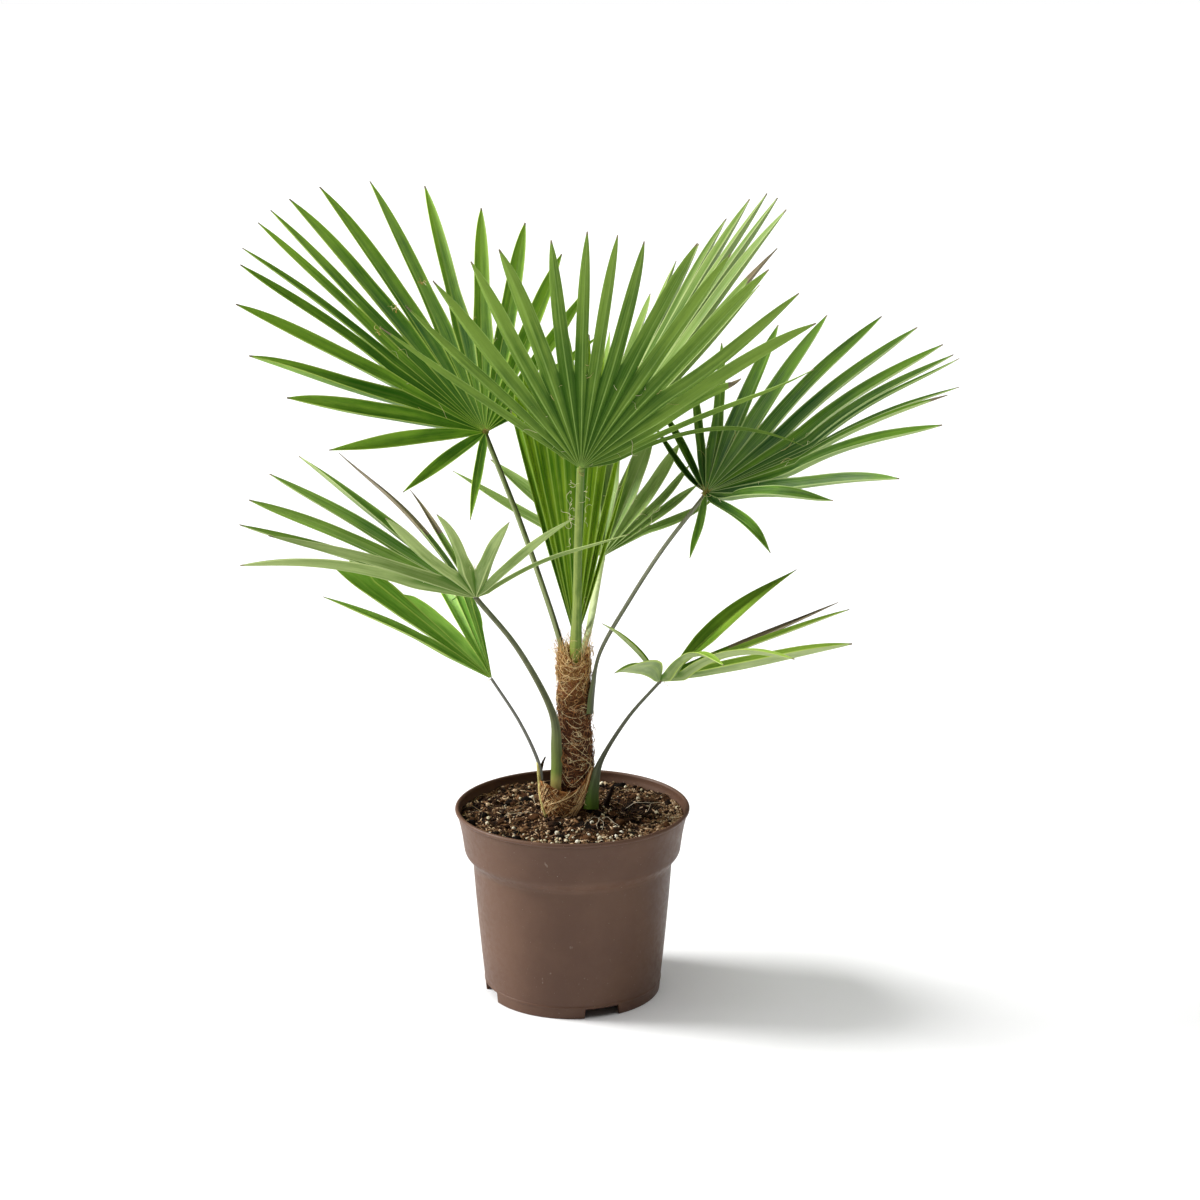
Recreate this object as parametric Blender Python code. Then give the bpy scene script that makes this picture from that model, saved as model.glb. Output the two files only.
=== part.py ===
"""A windmill palm in a nursery pot: pot, soil, fibrous trunk, nine leaf stalks and nine fan blades.

Units are metres and +Z is up. The pieces are shaped about the pot's own axis, and the last step moves them
all sideways by POT_AXIS, so that the origin is the middle of the whole plant's spread, on the surface that
the pot stands on. The plant's front is towards -Y.
"""

import math

import bmesh
import bpy
import numpy as np
from mathutils import Matrix

# Driving dimensions ---------------------------------------------------------------------------

GAP = 0.0003  # clearance between touching pieces
POT_AXIS = (-0.0235, -0.045)  # where the pot's axis stands once the plant's spread is centred

POT_HEIGHT = 0.156
POT_RIM_RADIUS = 0.095
POT_FOOT_RADIUS = 0.0712
POT_WALL = 0.0014
POT_FLOOR_HEIGHT = 0.0095  # the pot's floor is raised above its foot
POT_SEGMENTS = 48
DRAIN_HOLE_RADIUS = 0.006
DRAIN_HOLE_CIRCLE = 0.042
DRAIN_HOLES = 8
NOTCH_HEIGHT = 0.008  # cut-outs in the foot, which let water run off
NOTCH_HALF_ANGLE = 12.0
NOTCH_HEADINGS = (-70.5, 19.5, 109.5, 199.5)

SOIL_WALL_HEIGHT = 0.1475  # soil level against the pot wall
SOIL_MOUND = 0.0065  # how much higher the soil stands at the trunk
SOIL_SEGMENTS = 32
SOIL_RINGS = 6

TRUNK_X = 0.0015
TRUNK_RADIUS = 0.0126
TRUNK_LEAN = 0.002  # how far the foot of the trunk stands to the right of its top
TRUNK_TOP = 0.286
TRUNK_CUP_FLOOR = 0.262  # inside the fibrous collar, where the leaf stalks start
TRUNK_CUP_RADIUS = 0.0117
TRUNK_ROOT_DEPTH = 0.022  # how far the trunk goes into the soil
TRUNK_SIDES = 24

BLADE_THICKNESS = 0.0008
BLADE_START = 0.0036  # distance from the hub where the pleated sheet begins
LEAFLET_WIDEST = 0.018  # where leaflets spread further apart than this, the split between them starts
FREE_ROWS = (0.36, 0.66, 0.88)  # where the free part of a leaflet has a row of points, as shares of it
FREE_WIDTHS = (0.93, 0.72, 0.38)  # its width there, as shares of the width at the split
STALK_SIDES = 8
STALK_RINGS = 12

# Leaves ---------------------------------------------------------------------------------------
# stalk: points of its middle line from the sheath to the hub, in millimetres.
# stalk_size: half width and half thickness in millimetres at even steps from the sheath to the hub.
# heading, rise: aim of the blade's middle plane direction in degrees (0 is +X, 90 is +Y, 90 rise is up).
# roll: turn of the blade about that aim.
# angles, lengths (millimetres), lifts: the leaflets' aim in the blade's plane, their length and how far
# they lift out of that plane, each at five places evenly spread over the fan.
# split: share of a leaflet's length that is joined to its neighbours.
# quirks: leaflet number to (reach, turn, drop, twist): length factor, sideways bend and extra drop of the
# tip in millimetres, and twist of the tip in degrees.

LEAVES = {
    "left": dict(
        stalk=((-4.4, 2, 264), (-6.6, 2, 284), (-12, 3, 302), (-21, 6.5, 330), (-41, 22.5, 387), (-69, 50, 453)),
        stalk_size=((2.6, 2.4), (2.6, 2.2), (2.8, 2.0)),
        heading=165, rise=29, roll=16, sag=2, leaflets=20, split=0.42, pleat=0.26,
        angles=(107, 24, -13, -61, -107),
        lengths=(155, 222, 260, 266, 185),
        lifts=(10, 10, 11, 12, 13),
        quirks={18: (0.8, 0, 0, 0), 19: (0.7, 0, 0, 0)},
    ),
    "front": dict(
        stalk=((2, -7, 264), (3, -9, 292), (4, -20, 332), (5, -38, 390), (7, -60, 446)),
        stalk_size=((3.0, 2.0), (4.8, 2.3), (4.4, 2.2), (4.1, 2.1), (3.8, 2.0)),
        heading=-54, rise=50, roll=21, sag=4, leaflets=17, split=0.5, pleat=0.2,
        angles=(-73, -35, -8, 26, 73),
        lengths=(190, 228, 226, 220, 185),
        lifts=(16, 6, 7, 7, 11),
        quirks={14: (0.66, 0, 0, 60), 15: (1.08, -24, 0, 30), 16: (1.0, 0, 8, 0)},
    ),
    "right": dict(
        stalk=((13.2, -9.5, 236), (15.4, -5, 257), (22.5, 1, 285), (47, 12, 322), (79, 20, 363), (108, 25, 400)),
        stalk_size=((2.8, 1.4), (2.8, 1.7), (2.8, 2.1), (2.6, 2.1), (2.5, 2.0), (2.5, 2.0)),
        heading=2, rise=18, roll=-15, sag=4, leaflets=18, split=0.42, pleat=0.26,
        angles=(102, 59, 8, -18, -102),
        lengths=(105, 231, 233, 206, 136),
        lifts=(10, 10, 11, 11, 9),
        quirks={},
    ),
    "back_right": dict(
        stalk=((4, 7, 264), (5, 9, 292), (7, 16, 330), (9, 28, 377), (13, 40, 418)),
        stalk_size=((2.4, 2.2), (2.6, 2.2), (2.6, 2.0)),
        heading=51, rise=38, roll=32, sag=3, leaflets=14, split=0.48, pleat=0.26,
        angles=(47, 25, 4, -28, -56),
        lengths=(235, 258, 292, 287, 253),
        lifts=(6, 6, 6, 8, 5),
        quirks={},
    ),
    "back": dict(
        stalk=((8, 1, 264), (9, 3, 285), (14, 12, 303), (20, 42, 328), (25, 78, 344)),
        stalk_size=((2.4, 2.2), (2.8, 2.2), (2.6, 2.0)),
        heading=84, rise=45, roll=5, sag=4, leaflets=12, split=0.5, pleat=0.22,
        angles=(62, 25, 4, -39, -62),
        lengths=(145, 116, 123, 116, 105),
        lifts=(10, 10, 10, 10, 10),
        quirks={},
    ),
    "young": dict(
        stalk=((1, 0, 264), (2, 0, 278), (3, 2, 292)),
        stalk_size=((2.2, 2.0), (2.4, 2.2), (2.6, 2.2)),
        heading=94, rise=87, roll=-4, sag=1, leaflets=10, split=0.62, pleat=0.4,
        angles=(17, 9, -1, -8, -17),
        lengths=(195, 238, 250, 222, 150),
        lifts=(0, 0, 0, 0, 0),
        quirks={},
    ),
    "low_front_left": dict(
        stalk=((-11.8, -8, 172), (-11.8, -8, 205), (-16.5, -12.5, 240), (-41, -40, 298), (-71, -60, 344)),
        stalk_size=((4.2, 1.6), (4.5, 1.9), (3.2, 1.9), (2.4, 1.8), (2.2, 1.8)),
        heading=180, rise=0, roll=0, sag=3, leaflets=13, split=0.36, pleat=0.2,
        angles=(-70, -38, -12, 12, 52, 100, 148),
        lengths=(174, 199, 198, 192, 155, 154, 146),
        lifts=(16, 26, 22, 12, 38, 39, 29),
        quirks={},
    ),
    "low_left": dict(
        stalk=((-22, -7, 155), (-24, -6, 174), (-27, -5, 195), (-42, -3, 228), (-64, 0, 264)),
        stalk_size=((3.4, 2.2), (2.4, 2.0), (2.0, 1.6)),
        heading=145, rise=24, roll=-9, sag=3, leaflets=9, split=0.5, pleat=0.28,
        angles=(40, 17, -3, -20, -40),
        lengths=(155, 152, 143, 137, 123),
        lifts=(6, 11, 6, 9, 8),
        quirks={},
    ),
    "low_right": dict(
        stalk=((16, -13, 157), (18, -11, 176), (24, -7, 198), (45, -12, 234), (70, -20, 266)),
        stalk_size=((5.2, 1.8), (3.8, 1.9), (2.4, 1.8), (2.1, 1.7), (2.0, 1.6)),
        heading=0, rise=0, roll=0, sag=3, leaflets=8, split=0.34, pleat=0.24,
        angles=(40, 22, 10, -8, -35, -62, -115, -165),
        lengths=(158, 162, 158, 152, 128, 104, 84, 62),
        lifts=(26, 20, 19, 13, 15, 20, 25, 42),
        quirks={},
    ),
}

# Perlite grains and bark chips large enough to be pieces of their own: distance from the pot's middle
# and heading, then size, all in millimetres and degrees.
PERLITE = ((47, -105, 4.2), (33, -62, 3.8), (60, -50, 4.6), (70, -128, 4.0), (52, 150, 3.6), (66, 35, 4.0))
BARK = ((48, -25, 16), (58, -150, 14), (40, 120, 15), (66, 80, 13))

# The old leaf base: middle line and half height and half thickness at its ends and middle, in millimetres.
DEAD_BASE_PATH = ((-17, -13, 161), (-9.5, -17, 162), (0, -18.5, 162), (8, -17.5, 161))
DEAD_BASE_SIZE = ((2.5, 1.2), (7.0, 2.0), (7.5, 2.2), (3.0, 1.2))

# Materials ------------------------------------------------------------------------------------


def material(name, colour, roughness, metallic=0.0):
    """A Principled material of one colour."""
    made = bpy.data.materials.new(name)
    made.use_nodes = True
    shader = made.node_tree.nodes["Principled BSDF"]
    shader.inputs["Base Color"].default_value = (*colour, 1.0)
    shader.inputs["Roughness"].default_value = roughness
    shader.inputs["Metallic"].default_value = metallic
    made.diffuse_color = (*colour, 1.0)
    return made


# Mesh helpers ---------------------------------------------------------------------------------


def add_object(name, vertices, faces, finish, smooth=True):
    """A new object from whole arrays of vertices and a list of faces."""
    mesh = bpy.data.meshes.new(name)
    mesh.from_pydata([tuple(v) for v in vertices], [], faces)
    mesh.validate()
    body = bpy.data.objects.new(name, mesh)
    bpy.context.scene.collection.objects.link(body)
    mesh.materials.append(finish)
    if smooth:
        mesh.shade_smooth()
        mesh.set_sharp_from_angle(angle=math.radians(40))
    return body


def turned(name, profile, segments, finish, closed=True):
    """A solid of revolution about Z. The profile's (radius, height) points run once round the section."""
    turns = np.linspace(0, 2 * math.pi, segments, endpoint=False)
    radius, height = np.array(profile).T
    vertices = np.stack(
        [
            np.outer(np.cos(turns), radius).ravel(),
            np.outer(np.sin(turns), radius).ravel(),
            np.tile(height, segments),
        ],
        axis=1,
    )
    count = len(profile)
    faces = []
    for turn in range(segments):
        here, there = turn * count, (turn + 1) % segments * count
        for step in range(count if closed else count - 1):
            after = (step + 1) % count
            faces.append((here + step, there + step, there + after, here + after))
    body = add_object(name, vertices, faces, finish)
    tidy = bmesh.new()
    tidy.from_mesh(body.data)
    bmesh.ops.remove_doubles(tidy, verts=tidy.verts, dist=1e-6)
    bmesh.ops.recalc_face_normals(tidy, faces=tidy.faces)
    tidy.to_mesh(body.data)
    tidy.free()
    return body


def hide_cutter(body):
    """Keeps a Boolean's cutter out of the model."""
    body.hide_render = True
    body.display_type = "WIRE"
    return body


def cut(body, cutter):
    """Takes the cutter's shape out of the body."""
    change = body.modifiers.new("Cut " + cutter.name, "BOOLEAN")
    change.operation = "DIFFERENCE"
    change.object = hide_cutter(cutter)


def through_points(points, share):
    """A smooth (Catmull-Rom) curve through the points, read at shares from 0 to 1 of its span."""
    points = np.asarray(points, float)
    if points.ndim == 1:
        points = points[:, None]
    spans = len(points) - 1
    place = np.asarray(share, float) * spans
    first = np.clip(np.floor(place).astype(int), 0, spans - 1)
    f = (place - first)[:, None]
    padded = np.concatenate([[2 * points[0] - points[1]], points, [2 * points[-1] - points[-2]]])
    a, b, c, d = (padded[first + step] for step in range(4))
    return 0.5 * (2 * b + (c - a) * f + (2 * a - 5 * b + 4 * c - d) * f**2 + (3 * b - a - 3 * c + d) * f**3)


def unit(vectors):
    """The vectors scaled to a length of one."""
    return vectors / np.linalg.norm(vectors, axis=-1, keepdims=True)


# Pot ------------------------------------------------------------------------------------------


def pot_outline(height):
    """Outer radius of the pot at a height: tapered body, a chamfer, then the band and its lip."""
    heights = (0, 0.0095, 0.058, 0.1085, 0.113, 0.119, 0.1265, 0.1525, 0.1535, POT_HEIGHT)
    radii = (POT_FOOT_RADIUS, 0.0722, 0.0768, 0.0807, 0.0824, 0.0871, 0.0885, 0.0932, 0.0948, POT_RIM_RADIUS)
    return np.interp(height, heights, radii)


def make_pot(finish):
    """Thin tapered wall, raised floor, rim band and a foot with cut-outs."""
    outer = [0, 0.0095, 0.058, 0.1085, 0.113, 0.119, 0.1265, 0.1525, 0.1535, 0.1554]
    section = [(float(pot_outline(z)), z) for z in outer]
    lip = POT_RIM_RADIUS - POT_WALL / 2
    section += [(lip, POT_HEIGHT), (lip - POT_WALL, 0.1554)]
    inner = [0.1530, 0.1265, 0.119, 0.113, 0.1085, 0.058, POT_FLOOR_HEIGHT + POT_WALL]
    section += [(float(pot_outline(z)) - POT_WALL, z) for z in inner]
    section += [(0.0, POT_FLOOR_HEIGHT + POT_WALL), (0.0, POT_FLOOR_HEIGHT)]
    section += [(float(pot_outline(POT_FLOOR_HEIGHT)) - 2 * POT_WALL, POT_FLOOR_HEIGHT)]
    section += [(POT_FOOT_RADIUS - 2 * POT_WALL, 0.0)]
    pot = turned("pot", section, POT_SEGMENTS, finish)
    for number, heading in enumerate(NOTCH_HEADINGS, 1):
        cut(pot, notch_cutter(number, heading))
    for number in range(DRAIN_HOLES):
        cut(pot, drain_cutter(number))
    return pot


def notch_cutter(number, heading):
    """A block with sloped ends that cuts one gap in the foot."""
    low = math.tan(math.radians(NOTCH_HALF_ANGLE)) * POT_FOOT_RADIUS
    high = low * 0.8
    inside, outside, below = POT_FOOT_RADIUS - 0.012, POT_FOOT_RADIUS + 0.012, -0.004
    corners = [(inside, -low, below), (outside, -low, below), (outside, low, below), (inside, low, below)]
    corners += [(inside, -high, NOTCH_HEIGHT), (outside, -high, NOTCH_HEIGHT)]
    corners += [(outside, high, NOTCH_HEIGHT), (inside, high, NOTCH_HEIGHT)]
    turn = math.radians(heading)
    spin = np.array([[math.cos(turn), -math.sin(turn), 0], [math.sin(turn), math.cos(turn), 0], [0, 0, 1]])
    faces = [(0, 3, 2, 1), (4, 5, 6, 7), (0, 1, 5, 4), (1, 2, 6, 5), (2, 3, 7, 6), (3, 0, 4, 7)]
    block = helper_object(f"notch_cutter_{number}", np.array(corners) @ spin.T, faces)
    return block


def drain_cutter(number):
    """An upright rod that cuts one drain hole in the floor."""
    turn = 2 * math.pi * (number + 0.5) / DRAIN_HOLES
    ring = np.linspace(0, 2 * math.pi, 12, endpoint=False)
    x = DRAIN_HOLE_CIRCLE * math.cos(turn) + DRAIN_HOLE_RADIUS * np.cos(ring)
    y = DRAIN_HOLE_CIRCLE * math.sin(turn) + DRAIN_HOLE_RADIUS * np.sin(ring)
    low, high = POT_FLOOR_HEIGHT - 0.003, POT_FLOOR_HEIGHT + 0.005
    vertices = np.concatenate([np.stack([x, y, 0 * x + z], axis=1) for z in (low, high)])
    count = len(ring)
    faces = [tuple(range(count))[::-1], tuple(range(count, 2 * count))]
    faces += [(i, (i + 1) % count, count + (i + 1) % count, count + i) for i in range(count)]
    return helper_object(f"drain_cutter_{number + 1}", vertices, faces)


def helper_object(name, vertices, faces):
    """A helper object with no finish of its own."""
    mesh = bpy.data.meshes.new(name)
    mesh.from_pydata([tuple(v) for v in vertices], [], faces)
    body = bpy.data.objects.new(name, mesh)
    bpy.context.scene.collection.objects.link(body)
    return body


# Soil and trunk -------------------------------------------------------------------------------


def soil_height(x, y):
    """Soil level: a low mound at the trunk with gentle lumps."""
    distance = np.hypot(x, y) / (POT_RIM_RADIUS - POT_WALL)
    lumps = 0.0009 * np.sin(61 * x + 1.3) * np.cos(74 * y - 0.6) + 0.0006 * np.sin(130 * x - 90 * y)
    fade = np.clip(4 * (1 - distance), 0, 1)
    return SOIL_WALL_HEIGHT + SOIL_MOUND * np.exp(-((distance / 0.42) ** 2)) + lumps * fade


def make_soil(finish):
    """The body of soil: fills the pot from its floor to a little under the rim."""
    turns = np.linspace(0, 2 * math.pi, SOIL_SEGMENTS, endpoint=False)
    # The pot's wall has straight facets, so the soil's facets stay inside them.
    shrink = math.cos(math.pi / POT_SEGMENTS)
    levels = [POT_FLOOR_HEIGHT + POT_WALL + GAP, 0.058, 0.1075, 0.1125, 0.119, 0.1265, SOIL_WALL_HEIGHT]
    rings = []
    for level in levels:
        radius = (float(pot_outline(level)) - POT_WALL) * shrink - 2 * GAP
        rings.append(np.stack([radius * np.cos(turns), radius * np.sin(turns), 0 * turns + level], axis=1))
    edge = (float(pot_outline(SOIL_WALL_HEIGHT)) - POT_WALL) * shrink - 2 * GAP
    for step in range(1, SOIL_RINGS):
        radius = edge * (1 - step / SOIL_RINGS)
        x, y = radius * np.cos(turns), radius * np.sin(turns)
        rings.append(np.stack([x, y, soil_height(x, y)], axis=1))
    vertices = np.concatenate(rings + [[(0, 0, float(soil_height(0.0, 0.0)))]])
    count = SOIL_SEGMENTS
    faces = [tuple(range(count))[::-1]]
    for ring in range(len(rings) - 1):
        for turn in range(count):
            after = (turn + 1) % count
            low, high = ring * count, (ring + 1) * count
            faces.append((low + turn, low + after, high + after, high + turn))
    last = (len(rings) - 1) * count
    faces += [(last + turn, last + (turn + 1) % count, len(vertices) - 1) for turn in range(count)]
    soil = add_object("soil", vertices, faces, finish)
    cut(soil, socket_cutter())
    return soil


def socket_cutter():
    """The space that the trunk's foot takes in the soil."""
    radius = TRUNK_RADIUS + 0.0016 + 2 * GAP
    low = SOIL_WALL_HEIGHT + SOIL_MOUND - TRUNK_ROOT_DEPTH - GAP
    section = [(0, low), (radius, low), (radius, 0.2), (0, 0.2)]
    socket = turned("trunk_socket_cutter", section, TRUNK_SIDES, None)
    socket.data.transform(Matrix.Translation((TRUNK_X + TRUNK_LEAN, 0, 0)))
    return socket


def make_trunk(finish):
    """The short trunk: a slightly wavy column whose top is a collar of fibre around the leaf stalks."""
    mound = SOIL_WALL_HEIGHT + SOIL_MOUND
    outer = [
        (mound - TRUNK_ROOT_DEPTH, 0.0115),
        (mound - 0.004, 0.0142),
        (0.165, 0.0139),
        (0.182, 0.0132),
        (0.200, 0.0134),
        (0.222, 0.0126),
        (0.246, 0.0128),
        (0.262, 0.0126),
        (0.275, 0.0130),
        (TRUNK_TOP, 0.0127),
    ]
    section = [(0.0, outer[0][0])] + [(radius, z) for z, radius in outer]
    section += [(TRUNK_CUP_RADIUS, TRUNK_TOP), (TRUNK_CUP_RADIUS, TRUNK_CUP_FLOOR), (0.0, TRUNK_CUP_FLOOR)]
    trunk = turned("trunk", section, TRUNK_SIDES, finish)
    for vertex in trunk.data.vertices:
        share = min(1.0, max(0.0, (0.24 - vertex.co.z) / 0.06))
        vertex.co.x += TRUNK_X + TRUNK_LEAN * share
    return trunk


# Leaves ---------------------------------------------------------------------------------------


def blade_frame(leaf):
    """Unit vectors of a blade: its aim, its side and the normal of its upper face."""
    heading, rise, roll = (math.radians(leaf[key]) for key in ("heading", "rise", "roll"))
    aim = np.array([math.cos(rise) * math.cos(heading), math.cos(rise) * math.sin(heading), math.sin(rise)])
    upright = np.array([-math.sin(rise) * math.cos(heading), -math.sin(rise) * math.sin(heading), math.cos(rise)])
    normal = math.cos(roll) * upright + math.sin(roll) * np.cross(upright, aim)
    return aim, np.cross(normal, aim), normal


def fan_surface(leaf, place, reach):
    """Points of the smooth fan, at places 0 to 1 across it and at shares of the leaflet length.

    Each ray leaves the hub at its angle and lift, and sags with the square of its length."""
    aim, side, normal = blade_frame(leaf)
    place = np.asarray(place, float)
    angle = np.radians(through_points(leaf["angles"], place))
    lift = np.radians(through_points(leaf["lifts"], place))
    length = through_points(leaf["lengths"], place) * 0.001 * np.asarray(reach, float)[:, None]
    ray = np.cos(lift) * (np.cos(angle) * aim + np.sin(angle) * side) + np.sin(lift) * normal
    hub = np.array(leaf["stalk"][-1]) * 0.001
    points = hub + length * ray
    points[:, 2:] -= leaf["sag"] * 0.001 * (length / 0.2) ** 2
    return points


def fan_axes(leaf, place, reach):
    """Across-the-fan, along-the-leaflet and upward unit vectors of the fan's surface."""
    step = 1e-3
    across = fan_surface(leaf, place + step, reach) - fan_surface(leaf, place - step, reach)
    along = unit(fan_surface(leaf, place, reach + step) - fan_surface(leaf, place, reach - step))
    across = unit(across - np.sum(across * along, axis=1, keepdims=True) * along)
    upward = np.cross(along, across)
    facing = np.sign(np.sum(upward * blade_frame(leaf)[2], axis=1, keepdims=True))
    return across, along, upward * facing


def split_shares(leaf):
    """Share of the length where the split starts, for every fold and midrib across the fan."""
    count = leaf["leaflets"]
    middles = np.arange(count) / (count - 1)
    edges = (np.arange(count + 1) - 0.5) / (count - 1)
    at_edges = fan_surface(leaf, edges, np.ones(count + 1))
    spread = np.linalg.norm(np.diff(at_edges, axis=0), axis=1)
    shares = np.minimum(leaf["split"], LEAFLET_WIDEST / spread)
    return np.interp((np.arange(2 * count + 1) / 2 - 0.5) / (count - 1), middles, shares)


def make_blade(name, leaf, finish):
    """A pleated fan: leaflets joined by shared folds near the hub and free, pointed strips beyond the split."""
    count = leaf["leaflets"]
    split = split_shares(leaf)
    columns = np.arange(2 * count + 1)  # even columns are folds between leaflets, odd ones are midribs
    places = (columns / 2 - 0.5) / (count - 1)
    raised = np.where(columns % 2 == 0, 1.0, -1.0)
    inner = BLADE_START / (through_points(leaf["lengths"], places)[:, 0] * 0.001)
    rows = [inner, inner + 0.4 * (split - inner), split]
    vertices = []
    for row, reach in enumerate(rows):
        points = fan_surface(leaf, places, reach)
        across, _, upward = fan_axes(leaf, places, reach)
        gap = np.linalg.norm(points[2:] - points[:-2], axis=1)
        width = np.interp(columns, columns[1:-1], gap)
        depth = leaf["pleat"] * 0.5 * width * (0.5 if row == 0 else 1.0)
        vertices.append(points + (raised * depth)[:, None] * upward)
    faces = []
    wide = len(columns)
    for row in range(len(rows) - 1):
        for column in range(wide - 1):
            low = row * wide + column
            faces.append((low, low + 1, low + 1 + wide, low + wide))
    vertices = [np.concatenate(vertices)]
    total = len(vertices[0])
    for leaflet in range(count):
        strip, tip = free_strip(leaf, leaflet, split[2 * leaflet + 1])
        vertices += [strip, tip]
        last = (len(rows) - 1) * wide + 2 * leaflet
        before = (last, last + 1, last + 2)
        for row in range(len(FREE_ROWS)):
            here = tuple(total + 3 * row + step for step in range(3))
            faces.append((before[0], before[1], here[1], here[0]))
            faces.append((before[1], before[2], here[2], here[1]))
            before = here
        point = total + 3 * len(FREE_ROWS)
        faces += [(before[0], before[1], point), (before[1], before[2], point)]
        total = point + 1
    blade = add_object(name, np.concatenate(vertices), faces, finish)
    wall = blade.modifiers.new("Thickness", "SOLIDIFY")
    wall.thickness = BLADE_THICKNESS
    wall.offset = 0.0
    return blade


def free_strip(leaf, leaflet, split):
    """Rows of left edge, midrib and right edge of one leaflet beyond the split, and its tip."""
    count = leaf["leaflets"]
    place = np.full(len(FREE_ROWS) + 1, leaflet / (count - 1))
    reach_by, turn, drop, twist = leaf["quirks"].get(leaflet, (1.0, 0.0, 0.0, 0.0))
    along_free = np.append(FREE_ROWS, 1.0)
    reach = (split + (1 - split) * along_free) * (1 + (reach_by - 1) * along_free)
    centre = fan_surface(leaf, place, reach)
    across, _, upward = fan_axes(leaf, place, reach)
    bend = (along_free**2)[:, None]
    centre = centre + bend * 0.001 * (turn * across - drop * np.array([0, 0, 1.0]))
    edges = fan_surface(leaf, np.array([leaflet - 0.5, leaflet + 0.5]) / (count - 1), np.full(2, split))
    half = np.linalg.norm(edges[1] - edges[0]) / 2
    turn_by = np.radians(twist) * along_free[:, None]
    flat = np.cos(turn_by) * across + np.sin(turn_by) * upward
    proud = np.cos(turn_by) * upward - np.sin(turn_by) * across
    wide = (half * np.append(FREE_WIDTHS, 0.0))[:, None]
    rise = leaf["pleat"] * wide
    left = centre - wide * flat + rise * proud
    right = centre + wide * flat + rise * proud
    rib = centre - rise * proud
    rows = np.stack([left, rib, right], axis=1)[:-1].reshape(-1, 3)
    return rows, centre[-1:]


def make_stalk(name, leaf, finish):
    """A leaf stalk: an oval section swept from its sheath to the hub, flatter side towards the trunk."""
    share = np.linspace(0, 1, STALK_RINGS)
    path = through_points(np.array(leaf["stalk"]) * 0.001, share)
    sizes = through_points(np.array(leaf["stalk_size"]) * 0.001, share)
    along = unit(np.gradient(path, axis=0))
    inward = np.array([TRUNK_X, 0, 0]) - path * (1, 1, 0) + np.array([0, 0, 1e-4])
    if name.startswith("young"):
        inward = np.tile([0.0, -1.0, 0.0], (STALK_RINGS, 1))
    side = unit(np.cross(along, inward))
    face = np.cross(side, along)
    return swept(name, path, sizes, side, face, finish)


def swept(name, path, sizes, side, face, finish):
    """A closed solid with an oval section along a path; sizes are the half widths along side and face."""
    turns = np.linspace(0, 2 * math.pi, STALK_SIDES, endpoint=False)
    ring = np.cos(turns)[None, :, None] * (sizes[:, :1, None] * side[:, None, :])
    ring = ring + np.sin(turns)[None, :, None] * (sizes[:, 1:, None] * face[:, None, :])
    vertices = (path[:, None, :] + ring).reshape(-1, 3)
    faces = [tuple(range(STALK_SIDES))]
    for row in range(len(path) - 1):
        for turn in range(STALK_SIDES):
            after = (turn + 1) % STALK_SIDES
            low, high = row * STALK_SIDES, (row + 1) * STALK_SIDES
            faces.append((low + after, low + turn, high + turn, high + after))
    faces.append(tuple(range(len(vertices) - STALK_SIDES, len(vertices)))[::-1])
    body = add_object(name, vertices, faces, finish)
    tidy = bmesh.new()
    tidy.from_mesh(body.data)
    bmesh.ops.recalc_face_normals(tidy, faces=tidy.faces)
    tidy.to_mesh(body.data)
    tidy.free()
    return body


def make_dead_leaf_base(finish):
    """The curved remnant of an old leaf base that hugs the foot of the trunk."""
    share = np.linspace(0, 1, 9)
    path = through_points(np.array(DEAD_BASE_PATH) * 0.001, share)
    sizes = through_points(np.array(DEAD_BASE_SIZE) * 0.001, share)
    along = unit(np.gradient(path, axis=0))
    side = np.tile([0.0, 0.0, 1.0], (len(share), 1))
    face = unit(np.cross(side, along))
    return swept("dead_leaf_base", path, sizes, side, face, finish)


# Loose pieces on the soil ---------------------------------------------------------------------


def make_lump(name, distance, heading, size, squash, finish, turn=0.0):
    """A small faceted lump that rests just on the soil."""
    shape = bmesh.new()
    bmesh.ops.create_icosphere(shape, subdivisions=1, radius=size * 0.0005)
    stretch = Matrix.Diagonal((squash[0], squash[1], squash[2], 1))
    shape.transform(Matrix.Rotation(math.radians(turn), 4, "Z") @ stretch)
    points = np.array([v.co for v in shape.verts])
    x = distance * 0.001 * math.cos(math.radians(heading))
    y = distance * 0.001 * math.sin(math.radians(heading))
    rest = np.max(soil_height(points[:, 0] + x, points[:, 1] + y)) + GAP + 0.0003 - points[:, 2].min()
    shape.transform(Matrix.Translation((x, y, float(rest))))
    mesh = bpy.data.meshes.new(name)
    shape.to_mesh(mesh)
    shape.free()
    lump = bpy.data.objects.new(name, mesh)
    bpy.context.scene.collection.objects.link(lump)
    mesh.materials.append(finish)
    return lump


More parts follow.
